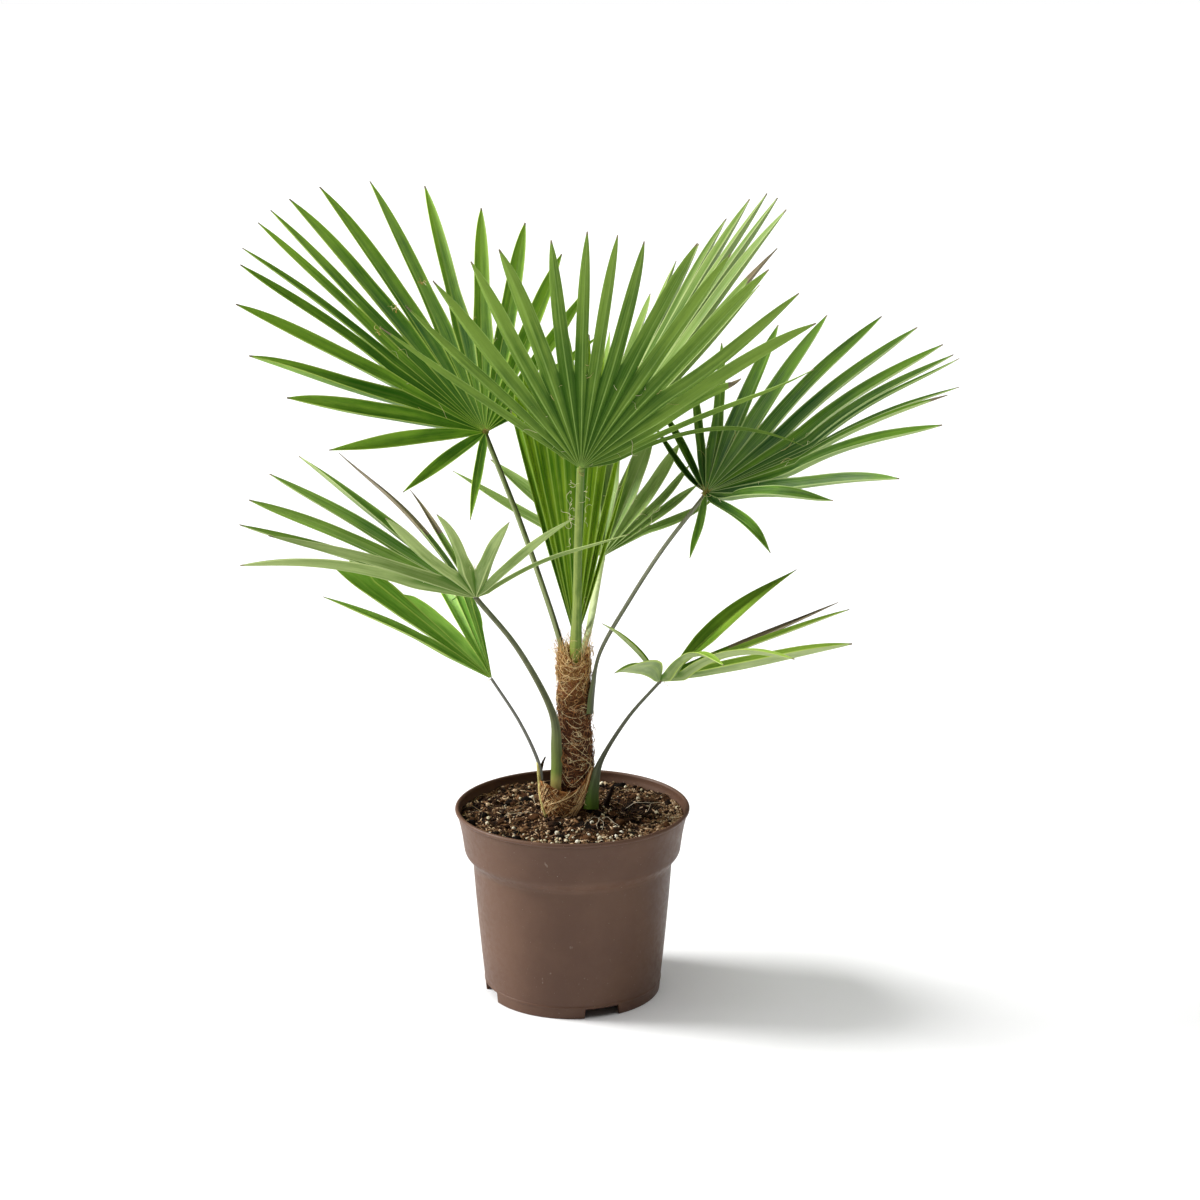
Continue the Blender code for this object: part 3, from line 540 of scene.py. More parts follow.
# %% The lower leaves
LEAVES |= {
    "low_front_left": dict(
        stalk=((-13.6, -11, 170), (-12.6, -10, 205), (-16.5, -13, 240), (-42, -40, 298), (-74, -60, 345)),
        thick=((4.4, 1.6), (4.8, 1.9), (3.2, 1.9), (2.4, 1.8), (2.2, 1.8)),
        heading=180, rise=0, roll=0, sag=3, leaflets=13, split=0.36, pleat=0.2, broad=0.8, faces=72,
        hub_shift=(-3, 0, 1),
        angles=(-70, -38, -12, 12, 52, 100, 148), lengths=(174, 199, 198, 192, 155, 154, 146),
        lifts=(16, 26, 22, 15, 38, 39, 29),
        quirks=dict(
            length={0: 1.08, 1: 1.13, 2: 1.05, 3: 1.01, 5: 0.97, 6: 0.98, 7: 1.1, 8: 0.88, 9: 0.92, 10: 0.9,
                11: 1.03, 12: 1.05},
            width={0: 1.1, 2: 1.9, 3: 1.3, 6: 1.2, 9: 0.7, 10: 0.8, 11: 0.8, 12: 0.75},
            bend={0: 1, 1: 2, 7: -4, 8: 2, 10: 7, 11: 2},
            arch={9: 3, 10: 1, 11: -3},
            drop={1: -7, 5: -4, 6: 10, 7: 8, 12: 5},
            hump={1: 9, 2: 2, 3: 1, 4: 1, 5: 2, 6: 5, 7: -1, 8: -3, 12: 5},
            dry={0: 0.4, 1: 0.6},
        ),
    ),
    "low_left": dict(
        stalk=((-22, -7, 155), (-24, -6, 174), (-27, -5, 195), (-42, -3, 228), (-64, 0, 262.5)),
        thick=((3.4, 2.2), (2.4, 2), (2, 1.6)),
        heading=145, rise=24, roll=-9, sag=3, leaflets=9, split=0.68, pleat=0.28, broad=1.15,
        hub_shift=(0, 0, -1.5),
        angles=(36.5, 23, 14.5, 6, -3, -29, -33, -37, -41), lengths=(155, 152, 143, 137, 123),
        lifts=(6, 11, 6, 9, 8),
        cuts={1: 0.28, 2: 0.8, 3: 0.77, 4: 0.8, 5: 0.3, 6: 0.78, 7: 0.76, 8: 0.78},
        quirks=dict(
            length={0: 0.98, 3: 0.9, 4: 0.8, 5: 0.9, 6: 0.84},
            width={0: 0.62},
            bend={0: -10},
            arch={0: 2},
            swell={4: 0.35},
        ),
    ),
    "low_right": dict(
        stalk=((15, -13, 157), (17, -11, 176), (24, -7, 198), (45, -12, 234), (70, -20, 266)),
        thick=((6.4, 1.9), (5, 1.9), (2.2, 1.8), (1.5, 1.5), (1.3, 1.3)),
        heading=0, rise=0, roll=0, sag=3, leaflets=8, split=0.34, pleat=0.24, broad=0.64, faces=104,
        angles=(40, 22, 10, -8, -35, -62, -115, -165), lengths=(158, 162, 158, 152, 128, 104, 84, 62),
        lifts=(26, 20, 19, 14, 18, 25, 25, 42),
        quirks=dict(
            length={0: 1.04, 1: 1.03, 2: 1.03, 3: 1.02, 6: 1.16, 7: 1.04},
            width={0: 1.8, 1: 0.8, 3: 1.3, 4: 0.9, 5: 0.8, 6: 1.2, 7: 1.2},
            bend={0: 2},
            arch={0: -6},
            drop={1: 6.5, 2: 1, 5: 6, 6: 12, 7: -8},
            hump={1: -2, 2: 2, 4: 12, 5: 12, 6: 5, 7: 9},
            swell={0: 0.6, 6: 0.9},
            dry={1: 0.6},
        ),
    ),
}
FIRST_SEED = 40
for number, leaf in enumerate(LEAVES.values()):
    leaf["seed"] = FIRST_SEED + number
    leaf.setdefault("broad", 1.0)


def of_leaflets(leaf, key):
    """One number for each leaflet, in a column: its own where it has a quirk, and the usual one elsewhere."""
    own = leaf["quirks"].get(key, {})
    return np.array([own.get(number, USUAL[key]) for number in range(leaf["leaflets"])], float)[:, None]


print("leaflets:", sum(leaf["leaflets"] for leaf in LEAVES.values()))

# %% [markdown]
# The fan itself is a smooth, slightly cupped surface. A point on it is the hub plus a ray: the ray's angle
# and lift depend on the place across the fan, and its end sags with the square of its length.


# %% The smooth fan under the pleats
def fan_frame(leaf):
    """Unit vectors of the fan: its aim, its side and the normal of its upper face."""
    heading, rise, roll = (np.radians(leaf[key]) for key in ("heading", "rise", "roll"))
    aim = np.array([np.cos(rise) * np.cos(heading), np.cos(rise) * np.sin(heading), np.sin(rise)])
    upright = np.array([-np.sin(rise) * np.cos(heading), -np.sin(rise) * np.sin(heading), np.cos(rise)])
    normal = np.cos(roll) * upright + np.sin(roll) * np.cross(upright, aim)
    return aim, np.cross(normal, aim), normal


def fan_point(leaf, place, reach):
    """Hub + length x reach x (cos lift x (cos angle x aim + sin angle x side) + sin lift x normal) - sag.

    A hub_shift moves the fan back from its hub: shift x ((1 - reach)^2.5 - 1)."""
    aim, side, normal = fan_frame(leaf)
    place, reach = np.broadcast_arrays(place, reach)
    angle = np.radians(curve_through(leaf["angles"], place))
    lift = np.radians(curve_through(leaf["lifts"], place))
    length = curve_through(leaf["lengths"], place) * MM * reach[..., None]
    ray = np.cos(lift) * (np.cos(angle) * aim + np.sin(angle) * side) + np.sin(lift) * normal
    shift = np.array(leaf.get("hub_shift", (0, 0, 0))) * MM
    points = np.array(leaf["stalk"][-1]) * MM + length * ray
    points += shift * (np.clip(1 - reach[..., None], 0, 1) ** 2.5 - 1)
    points[..., 2:] -= leaf["sag"] * MM * (length / 0.2) ** 2
    return points


def fan_axes(leaf, place, reach):
    """Unit vectors across the fan, out along the leaflet, and up from its upper face."""
    step = 1e-3
    across = fan_point(leaf, place + step, reach) - fan_point(leaf, place - step, reach)
    along = unit(fan_point(leaf, place, reach + step) - fan_point(leaf, place, reach - step))
    across = unit(across - np.sum(across * along, axis=-1, keepdims=True) * along)
    upward = np.cross(along, across)
    return across, along, upward * np.sign(np.sum(upward * fan_frame(leaf)[2], axis=-1, keepdims=True))


for name, leaf in LEAVES.items():
    print(name, "middle tip in mm:", np.round(fan_point(leaf, 0.5, 1.0) / MM).tolist())

# %% [markdown]
# The splits between leaflets don't all start at one distance. Where a fan spreads fast they start sooner,
# because a leaflet grows only so wide. Beyond its split a leaflet narrows towards the tip, slowly at first.


# %% Splits and widths
LEAFLET_WIDEST = 0.0188


def taper(free, swell):
    """Width of the free part, as a share of that at the split.

    (1 - free^4)^0.85 x (1 - 0.12 x least(1, free / 0.3)) x (1 + swell x sin(pi free^0.85))."""
    free = np.clip(free, 0, 1)
    narrowing = (1 - free**4) ** 0.85 * (1 - 0.12 * np.minimum(1, free / 0.3))
    return np.maximum(narrowing * (1 + swell * np.sin(np.pi * free**0.85)), 0.07)


def outerness(leaf):
    """For each leaflet, 0 in the middle of the fan, easing to 1 for the outermost ones."""
    edge = np.clip((np.abs(np.linspace(-1, 1, leaf["leaflets"])) - 0.6) / 0.25, 0, 1)
    return edge * edge * (3 - 2 * edge)


def fold_splits(leaf):
    """For each fold, the share of the length at which the split starts, earlier where leaflets spread.

    The outermost leaflets of a fan start narrow, so their splits start sooner still."""
    count = leaf["leaflets"]
    folds = (np.arange(count + 1) - 0.5) / (count - 1)
    spread = np.linalg.norm(np.diff(fan_point(leaf, folds, 1.0), axis=0), axis=1)
    middles = np.arange(count) / (count - 1)
    widest = LEAFLET_WIDEST * leaf["broad"] * (1 - 0.66 * outerness(leaf))
    share = np.interp(folds, middles, np.minimum(leaf["split"], widest / spread))
    share *= np.random.default_rng(leaf["seed"] + 100).uniform(0.88, 1.08, count + 1)
    for fold, cut in leaf.get("cuts", {}).items():
        share[fold] = cut
    return share


print("splits of the front leaf:", np.round(fold_splits(LEAVES["front"]), 2).tolist())

# %% [markdown]
# The pleats lie on the smooth fan: a fold between two leaflets stands above it, and a midrib lies below it.
# They are steepest at the hub, where the sheet is gathered into the stalk.


# %% Pleats
def half_gap(leaf, place, out):
    """Half the distance between the two neighbours of a place, at a share of the length."""
    half = 0.5 / (leaf["leaflets"] - 1)
    apart = fan_point(leaf, place + half, out) - fan_point(leaf, place - half, out)
    return np.linalg.norm(apart, axis=-1, keepdims=True) / 2


def pleat_depth(leaf, place, out):
    """Height of the folds above the smooth fan: half gap x pleat x (2.1 - 0.8 x least(1, out / 0.5))."""
    return half_gap(leaf, place, out) * leaf["pleat"] * (2.1 - 0.8 * np.clip(out / 0.5, 0, 1))[..., None]


def fold_line(leaf, place, out):
    """A point on a fold between two leaflets: above the smooth fan by the pleat's depth."""
    return fan_point(leaf, place, out) + pleat_depth(leaf, place, out) * fan_axes(leaf, place, out)[2]


depth = pleat_depth(LEAVES["front"], 0.5, np.array(0.43))[0] / MM
print(f"pleats of the front leaf where it splits: {depth:.1f} mm deep")

# %% [markdown]
# A leaflet's two edges follow the folds up to the split. Beyond it, each edge keeps the offset that it had
# from the midrib at the split, and that offset shrinks towards the tip. Between the midrib and an edge the
# blade is nearly straight, with a slight belly. Each leaflet also gets a bend, a drop, a twist and a faint
# ripple of its own.

# %% Leaflets as a function of two numbers
ACROSS = np.array([-1, -0.93, -0.72, -0.48, -0.22, -0.08, 0, 0.08, 0.22, 0.48, 0.72, 0.93, 1])
ROWS = 44
HUB_GAP = 2.2  # millimetres from the hub to where the leaflets start
BEND_SPREAD, DROP_RANGE, TWIST_SPREAD = 0.8, (-1.0, 2.0), 9.0  # millimetres, millimetres and degrees
RIPPLE_HEIGHT, RIPPLE_RATE = 0.0007, 9
BELLY = 0.07


def leaflet_grids(leaf, draw):
    """Middle surface of every leaflet: places (leaflets, rows, across, 3), up vectors, reach and free share.

    Place = rib + narrowing x (offsets of the edge at the split) x (share of the way across) + belly."""
    count = leaf["leaflets"]
    middle = (np.arange(count) / (count - 1))[:, None]
    folds = ((np.arange(count + 1) - 0.5) / (count - 1))[:, None]
    splits = fold_splits(leaf)[:, None]
    length, arch, width, hump = (of_leaflets(leaf, key) for key in ("length", "arch", "width", "hump"))
    swell = of_leaflets(leaf, "swell") + 0.04 + 0.7 * outerness(leaf)[:, None]
    bend = of_leaflets(leaf, "bend") + draw.normal(0, BEND_SPREAD, (count, 1))
    drop = of_leaflets(leaf, "drop") + draw.uniform(*DROP_RANGE, (count, 1))
    twist = np.radians(of_leaflets(leaf, "twist") + draw.normal(0, TWIST_SPREAD, (count, 1)))
    start = HUB_GAP / curve_through(leaf["lengths"], middle[:, 0])
    share = np.linspace(0, 1, ROWS)[None, :]
    reach = start + (1 - start) * share
    free_left = np.clip((reach - splits[:-1]) / (1 - splits[:-1]), 0, 1)
    free_right = np.clip((reach - splits[1:]) / (1 - splits[1:]), 0, 1)
    free = (free_left + free_right) / 2
    longer = reach * (1 + (length - 1) * free)
    fold_start = HUB_GAP / curve_through(leaf["lengths"], folds[:, 0])
    fold_reach = fold_start + (1 - fold_start) * share

    def rib_at(out, narrowing):
        """A point on the midribs: below the smooth fan by the pleats' depth, and less as they narrow."""
        joined_out = np.minimum(out, (splits[:-1] + splits[1:]) / 2)
        depth = pleat_depth(leaf, middle, joined_out) * narrowing
        return fan_point(leaf, middle, out) - depth * fan_axes(leaf, middle, out)[2]

    slim = 1 + (width - 1) * np.clip(free / 0.25, 0, 1)
    rib = rib_at(longer, (taper(free, swell) * slim)[..., None])
    across, along, upward = fan_axes(leaf, middle, longer)
    sideways = bend * free**2 + arch * np.sin(np.pi * free)
    lower = drop * free**2 - hump * np.sin(np.pi * free**0.8)
    rib = rib + MM * (sideways[..., None] * across - lower[..., None] * np.array([0, 0, 1.0]))
    turn = (twist * free)[..., None]
    flat = np.cos(turn) * across + np.sin(turn) * upward
    proud = np.cos(turn) * upward - np.sin(turn) * across
    ripple = draw.uniform(0, 2 * np.pi, (count, 1))
    rib = rib + (RIPPLE_HEIGHT * free * np.sin(RIPPLE_RATE * reach + ripple))[..., None] * proud

    folds_now = fold_line(leaf, folds, fold_reach)
    at_split = fold_line(leaf, folds, splits)
    edges = []
    for mine, free_side in ((slice(0, -1), free_left), (slice(1, None), free_right)):
        offset = at_split[mine] - rib_at(splits[mine], 1.0)
        axes = fan_axes(leaf, middle, splits[mine])
        shares = [np.sum(offset * axis, axis=-1, keepdims=True) for axis in axes]
        narrow = (taper(free_side, swell) * slim)[..., None]
        free_edge = rib + narrow * (shares[0] * flat + shares[1] * along + shares[2] * proud)
        edges.append(np.where((reach <= splits[mine])[..., None], folds_now[mine], free_edge))
    left, right = edges
    u = ACROSS[:, None]
    to_left, to_right = (left - rib)[:, :, None, :], (right - rib)[:, :, None, :]
    body = rib[:, :, None, :] + np.where(u < 0, -u * to_left, u * to_right)
    half_width = np.linalg.norm(np.where(u < 0, to_left, to_right), axis=-1, keepdims=True)
    belly = -BELLY * half_width * np.sin(np.pi * np.abs(u))
    return body + belly * proud[:, :, None, :], proud, reach, free


test_body = leaflet_grids(LEAVES["back"], np.random.default_rng(0))[0]
print("leaflets, rows and corners across the back leaf:", test_body.shape[:3])

# %% [markdown]
# The sheet gets a top and an underside, a raised rib beneath, and a narrow rim that joins them, so each
# leaflet is a closed body. Four numbers go with each corner: whether it is on the underside, the leaflet's
# tone, how dry it is, and how far beyond the split it lies. The finish reads them.

# %% Leaf blades
SHEET_THICKNESS = 0.0005
RIB_HEIGHT = 0.0004


def sheet_faces(rows, columns):
    """Faces of one closed sheet: its top, its underside, whose corners come after the top's, and its rim."""
    sheet = rows * columns
    first_row, first_column = np.arange(columns), np.arange(rows) * columns
    last_row, last_column = first_row + first_column[-1], first_column + columns - 1
    loop = np.concatenate([first_row, last_column[1:], last_row[-2::-1], first_column[-2:0:-1]])
    after = np.roll(loop, -1)
    rim = np.stack([loop, after, after + sheet, loop + sheet], axis=1)
    return np.concatenate([grid_faces(rows, columns)[:, ::-1], grid_faces(rows, columns) + sheet, rim])


def leaf_blade(name, leaf, finish):
    """The whole fan: a closed sheet for every leaflet, half a thickness up and down from its middle."""
    draw = np.random.default_rng(leaf["seed"])
    body, proud, reach, free = leaflet_grids(leaf, draw)
    count, rows, columns = body.shape[:3]
    normal = unit(np.cross(np.gradient(body, axis=2), np.gradient(body, axis=1)))
    facing = np.sign(np.sum(normal * proud[:, :, None, :], axis=-1, keepdims=True))
    normal = normal * np.where(facing == 0, 1, facing)
    rib = RIB_HEIGHT * np.exp(-((ACROSS / 0.12) ** 2))[:, None] * (1 - 0.7 * free[..., None, None])
    top = body + normal * SHEET_THICKNESS / 2
    under = body - normal * (SHEET_THICKNESS / 2 + rib)
    vertices = np.stack([top, under], axis=1)
    shape = (count, 2, rows, columns)
    uv = np.stack(np.broadcast_arrays((ACROSS + 1) / 2, reach[:, None, :, None] * np.ones(shape)), axis=-1)
    tone = draw.uniform(0, 1, count)[:, None, None, None]
    dead = np.clip((reach - 1 + of_leaflets(leaf, "dry")) / 0.05 + 0.5, 0, 1)
    marks = {
        "underside": np.array([0.0, 1.0])[:, None, None], "tone": tone,
        "dry": dead[:, None, :, None], "free": free[:, None, :, None],
    }
    values = {key: np.broadcast_to(numbers, shape).ravel() for key, numbers in marks.items()}
    groups = [repeated(sheet_faces(rows, columns), 2 * rows * columns, count)]
    vertices, uv, node = vertices.reshape(-1, 3), uv.reshape(-1, 2), name + "_blade"
    return add_piece(node + "_leaflets", vertices, groups, finish, node, uv, values)


print("corners of one leaflet:", 2 * ROWS * len(ACROSS))

# %% [markdown]
# ## The leaf's finish
#
# The upper face is a deep, slightly glossy green with a pale midrib and thin pale margins; the underside is
# duller and greyer, with paler ribs. Beneath, where the sheet is still joined, painted shade darkens the
# valleys of the pleats. Fine veins run along each leaflet, drawn by noise that is stretched along the
# leaflet's own coordinates. A leaflet's tone moves it a little between two greens, and its tip dries to brown.
# One function makes the finish from a leaf's own greens, because young and old leaves differ.


# %% Finish of a leaf blade
DRY_BROWN, DRY_STRAW = colour(88, 80, 62), colour(156, 142, 108)


def leaf_finish(name, deep, light, under_deep, under_light, rib_shade, rough=0.42):
    """Green of the two faces, with ribs, margins, veins, streaks, painted shade in the valleys beneath and dry
    ends.
    """
    finish, tree, shader = new_finish(name)
    uv = add_node(tree, "ShaderNodeUVMap", uv_map="UVMap").outputs[0]
    under, tone, dry, free = (mark(tree, key) for key in ("underside", "tone", "dry", "free"))
    lines = place_group(tree, leaf_lines, {"UV": uv, "Tone": tone, "Rib width": 0.12, "Vein count": 15.0})
    blotch = place_group(tree, mottle, {"Vector": object_place(tree), "Size": 24.0})["Blotch"]
    mixed = total(
        tree, times(tree, lines["Streak"], 0.9), times(tree, blotch, 0.5), times(tree, tone, 0.3),
        ease(tree, free, 0.0, 1.0, -0.08, 0.22),
    )
    share = ease(tree, mixed, 0.55, 1.2)
    upper = blend_colours(tree, share, deep, light)
    lower = blend_colours(tree, share, under_deep, under_light)
    green = blend_colours(tree, under, upper, lower)
    green = blend_colours(tree, ease(tree, lines["Vein"], 0.4, 0.75, 0.0, 0.2), green, rib_shade)
    # Painted shade: under the joined sheet, the folds between leaflets, where the pleats' valleys lie, darken
    # towards the deep green.
    joined_under = times(tree, ease(tree, free, 0.0, 0.05, 1.0, 0.0), under)
    painted_valley_shade = times(tree, joined_under, ease(tree, lines["Side"], 0.35, 0.95, 0.0, 0.75))
    green = blend_colours(tree, painted_valley_shade, green, deep)
    edge = times(tree, lines["Margin"], ease(tree, joined_under, 0.0, 1.0, 0.8, 0.0))
    green = blend_colours(tree, times(tree, lines["Rib"], 0.8), green, rib_shade)
    green = blend_colours(tree, edge, green, rib_shade)
    dead = ease(tree, total(tree, dry, times(tree, lines["Ragged"], 0.5)), 0.55, 0.9)
    dry_shade = blend_colours(tree, ease(tree, lines["Streak"], 0.35, 0.65), DRY_BROWN, DRY_STRAW)
    green = blend_colours(tree, dead, green, dry_shade)
    roughness = total(tree, ease(tree, blotch, 0.2, 0.8, rough - 0.06, rough + 0.1), times(tree, under, 0.12))
    wire(tree, shader, green, roughness, lines["Vein"], 0.35, 0.0006, gloss=0.16)
    return finish


print("dry ends in linear colour:", np.round(DRY_BROWN[:3], 2).tolist(), np.round(DRY_STRAW[:3], 2).tolist())

# %% [markdown]
# Each leaf has five greens: the deep and the light one of its upper face, the same two of its underside, and
# the shade of its ribs. The young leaf has the brightest light green, and the right leaf has the darkest
# deep green.

# %% Grow the blades
FRONT_ROUGHNESS = 0.5
GREENS = dict(
    left=((48, 102, 8), (136, 180, 52), (84, 126, 22), (148, 184, 86), (186, 208, 96)),
    front=((38, 80, 0), (106, 144, 24), (54, 92, 4), (118, 148, 54), (150, 180, 92)),
    right=((24, 76, 0), (102, 144, 28), (96, 128, 48), (156, 178, 106), (176, 196, 124)),
    back_right=((70, 106, 12), (132, 160, 74), (72, 104, 20), (134, 160, 82), (196, 212, 140)),
    back=((86, 122, 32), (162, 188, 106), (100, 130, 54), (166, 188, 120), (206, 218, 158)),
    young=((66, 116, 8), (172, 206, 52), (80, 126, 10), (176, 206, 76), (172, 202, 92)),
    low_front_left=((60, 104, 8), (116, 152, 48), (94, 120, 48), (154, 174, 104), (188, 202, 134)),
    low_left=((84, 140, 22), (156, 204, 84), (116, 152, 50), (176, 200, 108), (186, 208, 96)),
    low_right=((70, 116, 12), (144, 178, 60), (114, 138, 78), (172, 188, 130), (186, 208, 96)),
)
for name, leaf in LEAVES.items():
    shades = [colour(*shade) for shade in GREENS[name]]
    if name == "front":
        shades.append(FRONT_ROUGHNESS)
    leaf_blade(name, leaf, leaf_finish(name + "_leaf", *shades))

# %% [markdown]
# ## Leaf stalks
#
# Each stalk is a slim green rod, flat above and round below, that widens into a sheath at the trunk. A ring
# with a flattened half is carried along the stalk's curve. Its edges are paler, so the finish reads how far
# round the ring a point lies.

# %% Stalks
STALK_RINGS = 60
STALK_SIDES = 20
STALK_TIP = 0.0012
INNER_DEPTH = 0.45
CROWN = (0.0015, 0, 0)


def leaf_stalk(name, leaf, finish):
    """A ring with a flattened inner half, carried along the stalk's curve.

    Ring corner: half width x cos turn sideways, and half depth x sin turn, less on the inner half."""
    share = np.linspace(0, 1, STALK_RINGS)
    path = curve_through(np.array(leaf["stalk"], float) * MM, share)
    sizes = curve_through(np.array(leaf["thick"], float) * MM, share)
    along = unit(np.gradient(path, axis=0))
    inward = CROWN - path * (1, 1, 0) + (0, 0, 1e-4)
    if "faces" in leaf:
        heading = np.radians(leaf["faces"])
        inward = np.tile([np.cos(heading), np.sin(heading), 0.0], (STALK_RINGS, 1))
    side = unit(np.cross(along, inward))
    face = np.cross(side, along)
    turn = full_turn(STALK_SIDES)
    depth = np.where(np.sin(turn) > 0, INNER_DEPTH, 1.0) * np.sin(turn)
    wide = np.cos(turn)[:, None] * (sizes[:, :1] * side)[:, None]
    ring = wide + depth[:, None] * (sizes[:, 1:] * face)[:, None]
    vertices, groups = close_ends(path[:, None] + ring, path[0], path[-1] + along[-1] * STALK_TIP)
    uv = np.zeros((len(vertices), 2))
    uv[:-2, 0] = np.tile(np.abs(np.cos(turn)), STALK_RINGS)
    uv[:-2, 1] = np.repeat(share, STALK_SIDES)
    uv[-1, 1] = 1
    stripe = np.concatenate([np.tile(np.sin(turn), STALK_RINGS), [0, 0]])
    # How far each corner faces left, from -1 to 1: the finish paints light on that side and shade on the
    # other.
    painted_light_side = np.concatenate([-unit(ring)[..., 0].ravel(), [0, 0]])
    node = name + "_stalk"
    marks = {"stripe": stripe, "painted_light_side": painted_light_side}
    return add_piece(node + "_rod", vertices, groups, finish, node, uv, marks)


print("corners of a stalk:", STALK_RINGS * STALK_SIDES + 2)

# %% [markdown]
# A stalk's shade varies along and around it. Its edges are paler, its lowest part takes the sheath's colour,
# and a torn sheath ends in straw. Painted light makes the flank that faces left a little brighter, and painted
# shade makes the flank that faces right a little darker.


# %% Finish of a stalk
STRAW = (196, 176, 104)


def lesser(shade, share=0.45):
    """The same colour, darker."""
    return tuple(part * share for part in shade[:3]) + (1,)


def stalk_finish(name, shades, sheath_from, lean, straw):
    """Light and dark streaks, pale margins, a sheath's colour at the foot and, by lean, painted light and
    shade on the flanks.
    """
    finish, tree, shader = new_finish(name)
    light, dark, margin, sheath, dry = (colour(*shade) for shade in (*shades, STRAW))
    uv = add_node(tree, "ShaderNodeUVMap", uv_map="UVMap").outputs[0]
    place = add_node(tree, "ShaderNodeSeparateXYZ", {0: uv}).outputs
    streaks = stretch(tree, object_place(tree), (1, 1, 0.15))
    marks = place_group(tree, mottle, {"Vector": streaks, "Size": 160.0})
    own_place = {0: place[0], 1: place[1], 2: mark(tree, "stripe")}
    around = add_node(tree, "ShaderNodeCombineXYZ", own_place).outputs[0]
    lines = grain(tree, stretch(tree, around, (5, 0.5, 4)), 2.2, detail=3.0)
    # Painted light and shade: the flank that faces left moves towards the light shade, the other towards the
    # dark.
    painted_light_side = times(tree, mark(tree, "painted_light_side"), lean)
    share = total(tree, times(tree, marks["Blotch"], 0.45), times(tree, lines, 0.6), painted_light_side)
    mixed = blend_colours(tree, ease(tree, share, 0.36, 0.68), dark, light)
    mixed = blend_colours(tree, ease(tree, place[0], 0.8, 0.97, 0.0, 0.75), mixed, margin)
    foot = blend_colours(tree, ease(tree, share, 0.36, 0.68), lesser(sheath), sheath)
    mixed = blend_colours(tree, ease(tree, place[1], sheath_from, 0.02, 0.0, 0.9), mixed, foot)
    mixed = blend_colours(tree, ease(tree, place[1], 0.14, 0.03, 0.0, straw), mixed, dry)
    rough = ease(tree, marks["Grain"], 0.2, 0.8, 0.4, 0.6)
    wire(tree, shader, mixed, rough, marks["Grain"], 0.2, 0.0004, gloss=0.3)
    return finish


# The light and the dark shade, the margin and the sheath of each stalk's finish.
STALK_SHADES = dict(
    fresh=((126, 156, 42), (72, 108, 8), (190, 204, 112), (160, 178, 50)),
    # The front stalk's dark margin is painted shade along its edges.
    front=((164, 182, 92), (92, 122, 40), (70, 98, 14), (172, 192, 60)),
    pale=((196, 206, 148), (134, 150, 92), (206, 216, 160), (176, 180, 120)),
    left=((134, 142, 94), (48, 50, 20), (150, 160, 112), (126, 140, 50)),
    dark=((108, 110, 82), (66, 70, 44), (134, 136, 112), (88, 98, 46)),
    grey=((112, 113, 102), (86, 87, 78), (128, 128, 118), STRAW),
    sheath=((116, 120, 84), (72, 78, 48), (140, 144, 112), (122, 144, 44)),
    wedge=((104, 106, 88), (72, 76, 54), (104, 112, 78), (98, 138, 22)),
)
SHEATH_FROM = dict(front=0.4, pale=0.2, dark=0.5, grey=0.42, sheath=0.55, wedge=0.5)
# lean sets how strongly the flanks get painted light and shade; the left stalk, with its near-black dark
# shade, gets the most.
STALK_LOOKS = {
    look: stalk_finish(
        look + "_stalk", shades, SHEATH_FROM.get(look, 0.25),
        lean=0.3 if look == "left" else 0.16, straw=0.85 if look == "sheath" else 0.0,
    )
    for look, shades in STALK_SHADES.items()
}
LOOK_OF = dict(left="left", right="dark", front="front", back="pale", low_left="grey", low_right="wedge",
               low_front_left="sheath")
for name, leaf in LEAVES.items():
    leaf_stalk(name, leaf, STALK_LOOKS[LOOK_OF.get(name, "fresh")])

# %% [markdown]
# ## The nursery pot
#
# The pot is thin moulded plastic: a foot with four cut-outs, a tapering wall, a deeper band under the
# rim and a rounded lip. A turned shape needs only its outline, so the wall is that outline carried round the
# axis. The foot's cut-outs come from raising the lower end of the outline where a cut-out stands.

# %% The pot's outline
WALL = 0.0014
POT_FLOOR = 0.0095
# Height and outer radius of the wall, from the foot to the neck below the lip, in millimetres.
OUTLINE = np.array([
    (0, 70.9), (0.4, 71.3), (8.9, 72.1), (9.3, 72.5), (10.5, 72.5), (10.9, 72.2), (34, 74.6), (58, 76.8),
    (82, 78.8), (106, 80.5), (109.4, 80.9), (112.6, 82.2), (117.6, 86.2), (119.0, 87.0), (121.2, 87.7),
    (126.5, 88.4), (134, 89.4), (142, 90.9), (150.6, 92.9), (152.2, 93.0),
]) * MM
LIP_RADIUS = 0.0017
NOTCH_HEADINGS = (-70.5, 19.5, 109.5, 199.5)
NOTCH_HALF_ANGLE, NOTCH_FLANK = 12, 0.6
NOTCH_HEIGHT = 0.008
TURNS = 384


def outer_radius(height):
    """The wall's outer radius at a height, read from the outline."""
    return np.interp(height, OUTLINE[:, 0], OUTLINE[:, 1])


def foot_edge(angle):
    """Height of the foot's lower edge: the cut-out's height within its half angle, and nought elsewhere."""
    apart = np.abs(np.angle(np.exp(1j * (angle[:, None] - np.radians(NOTCH_HEADINGS))))).min(axis=1)
    return NOTCH_HEIGHT * np.clip((NOTCH_HALF_ANGLE - np.degrees(apart)) / NOTCH_FLANK, 0, 1)


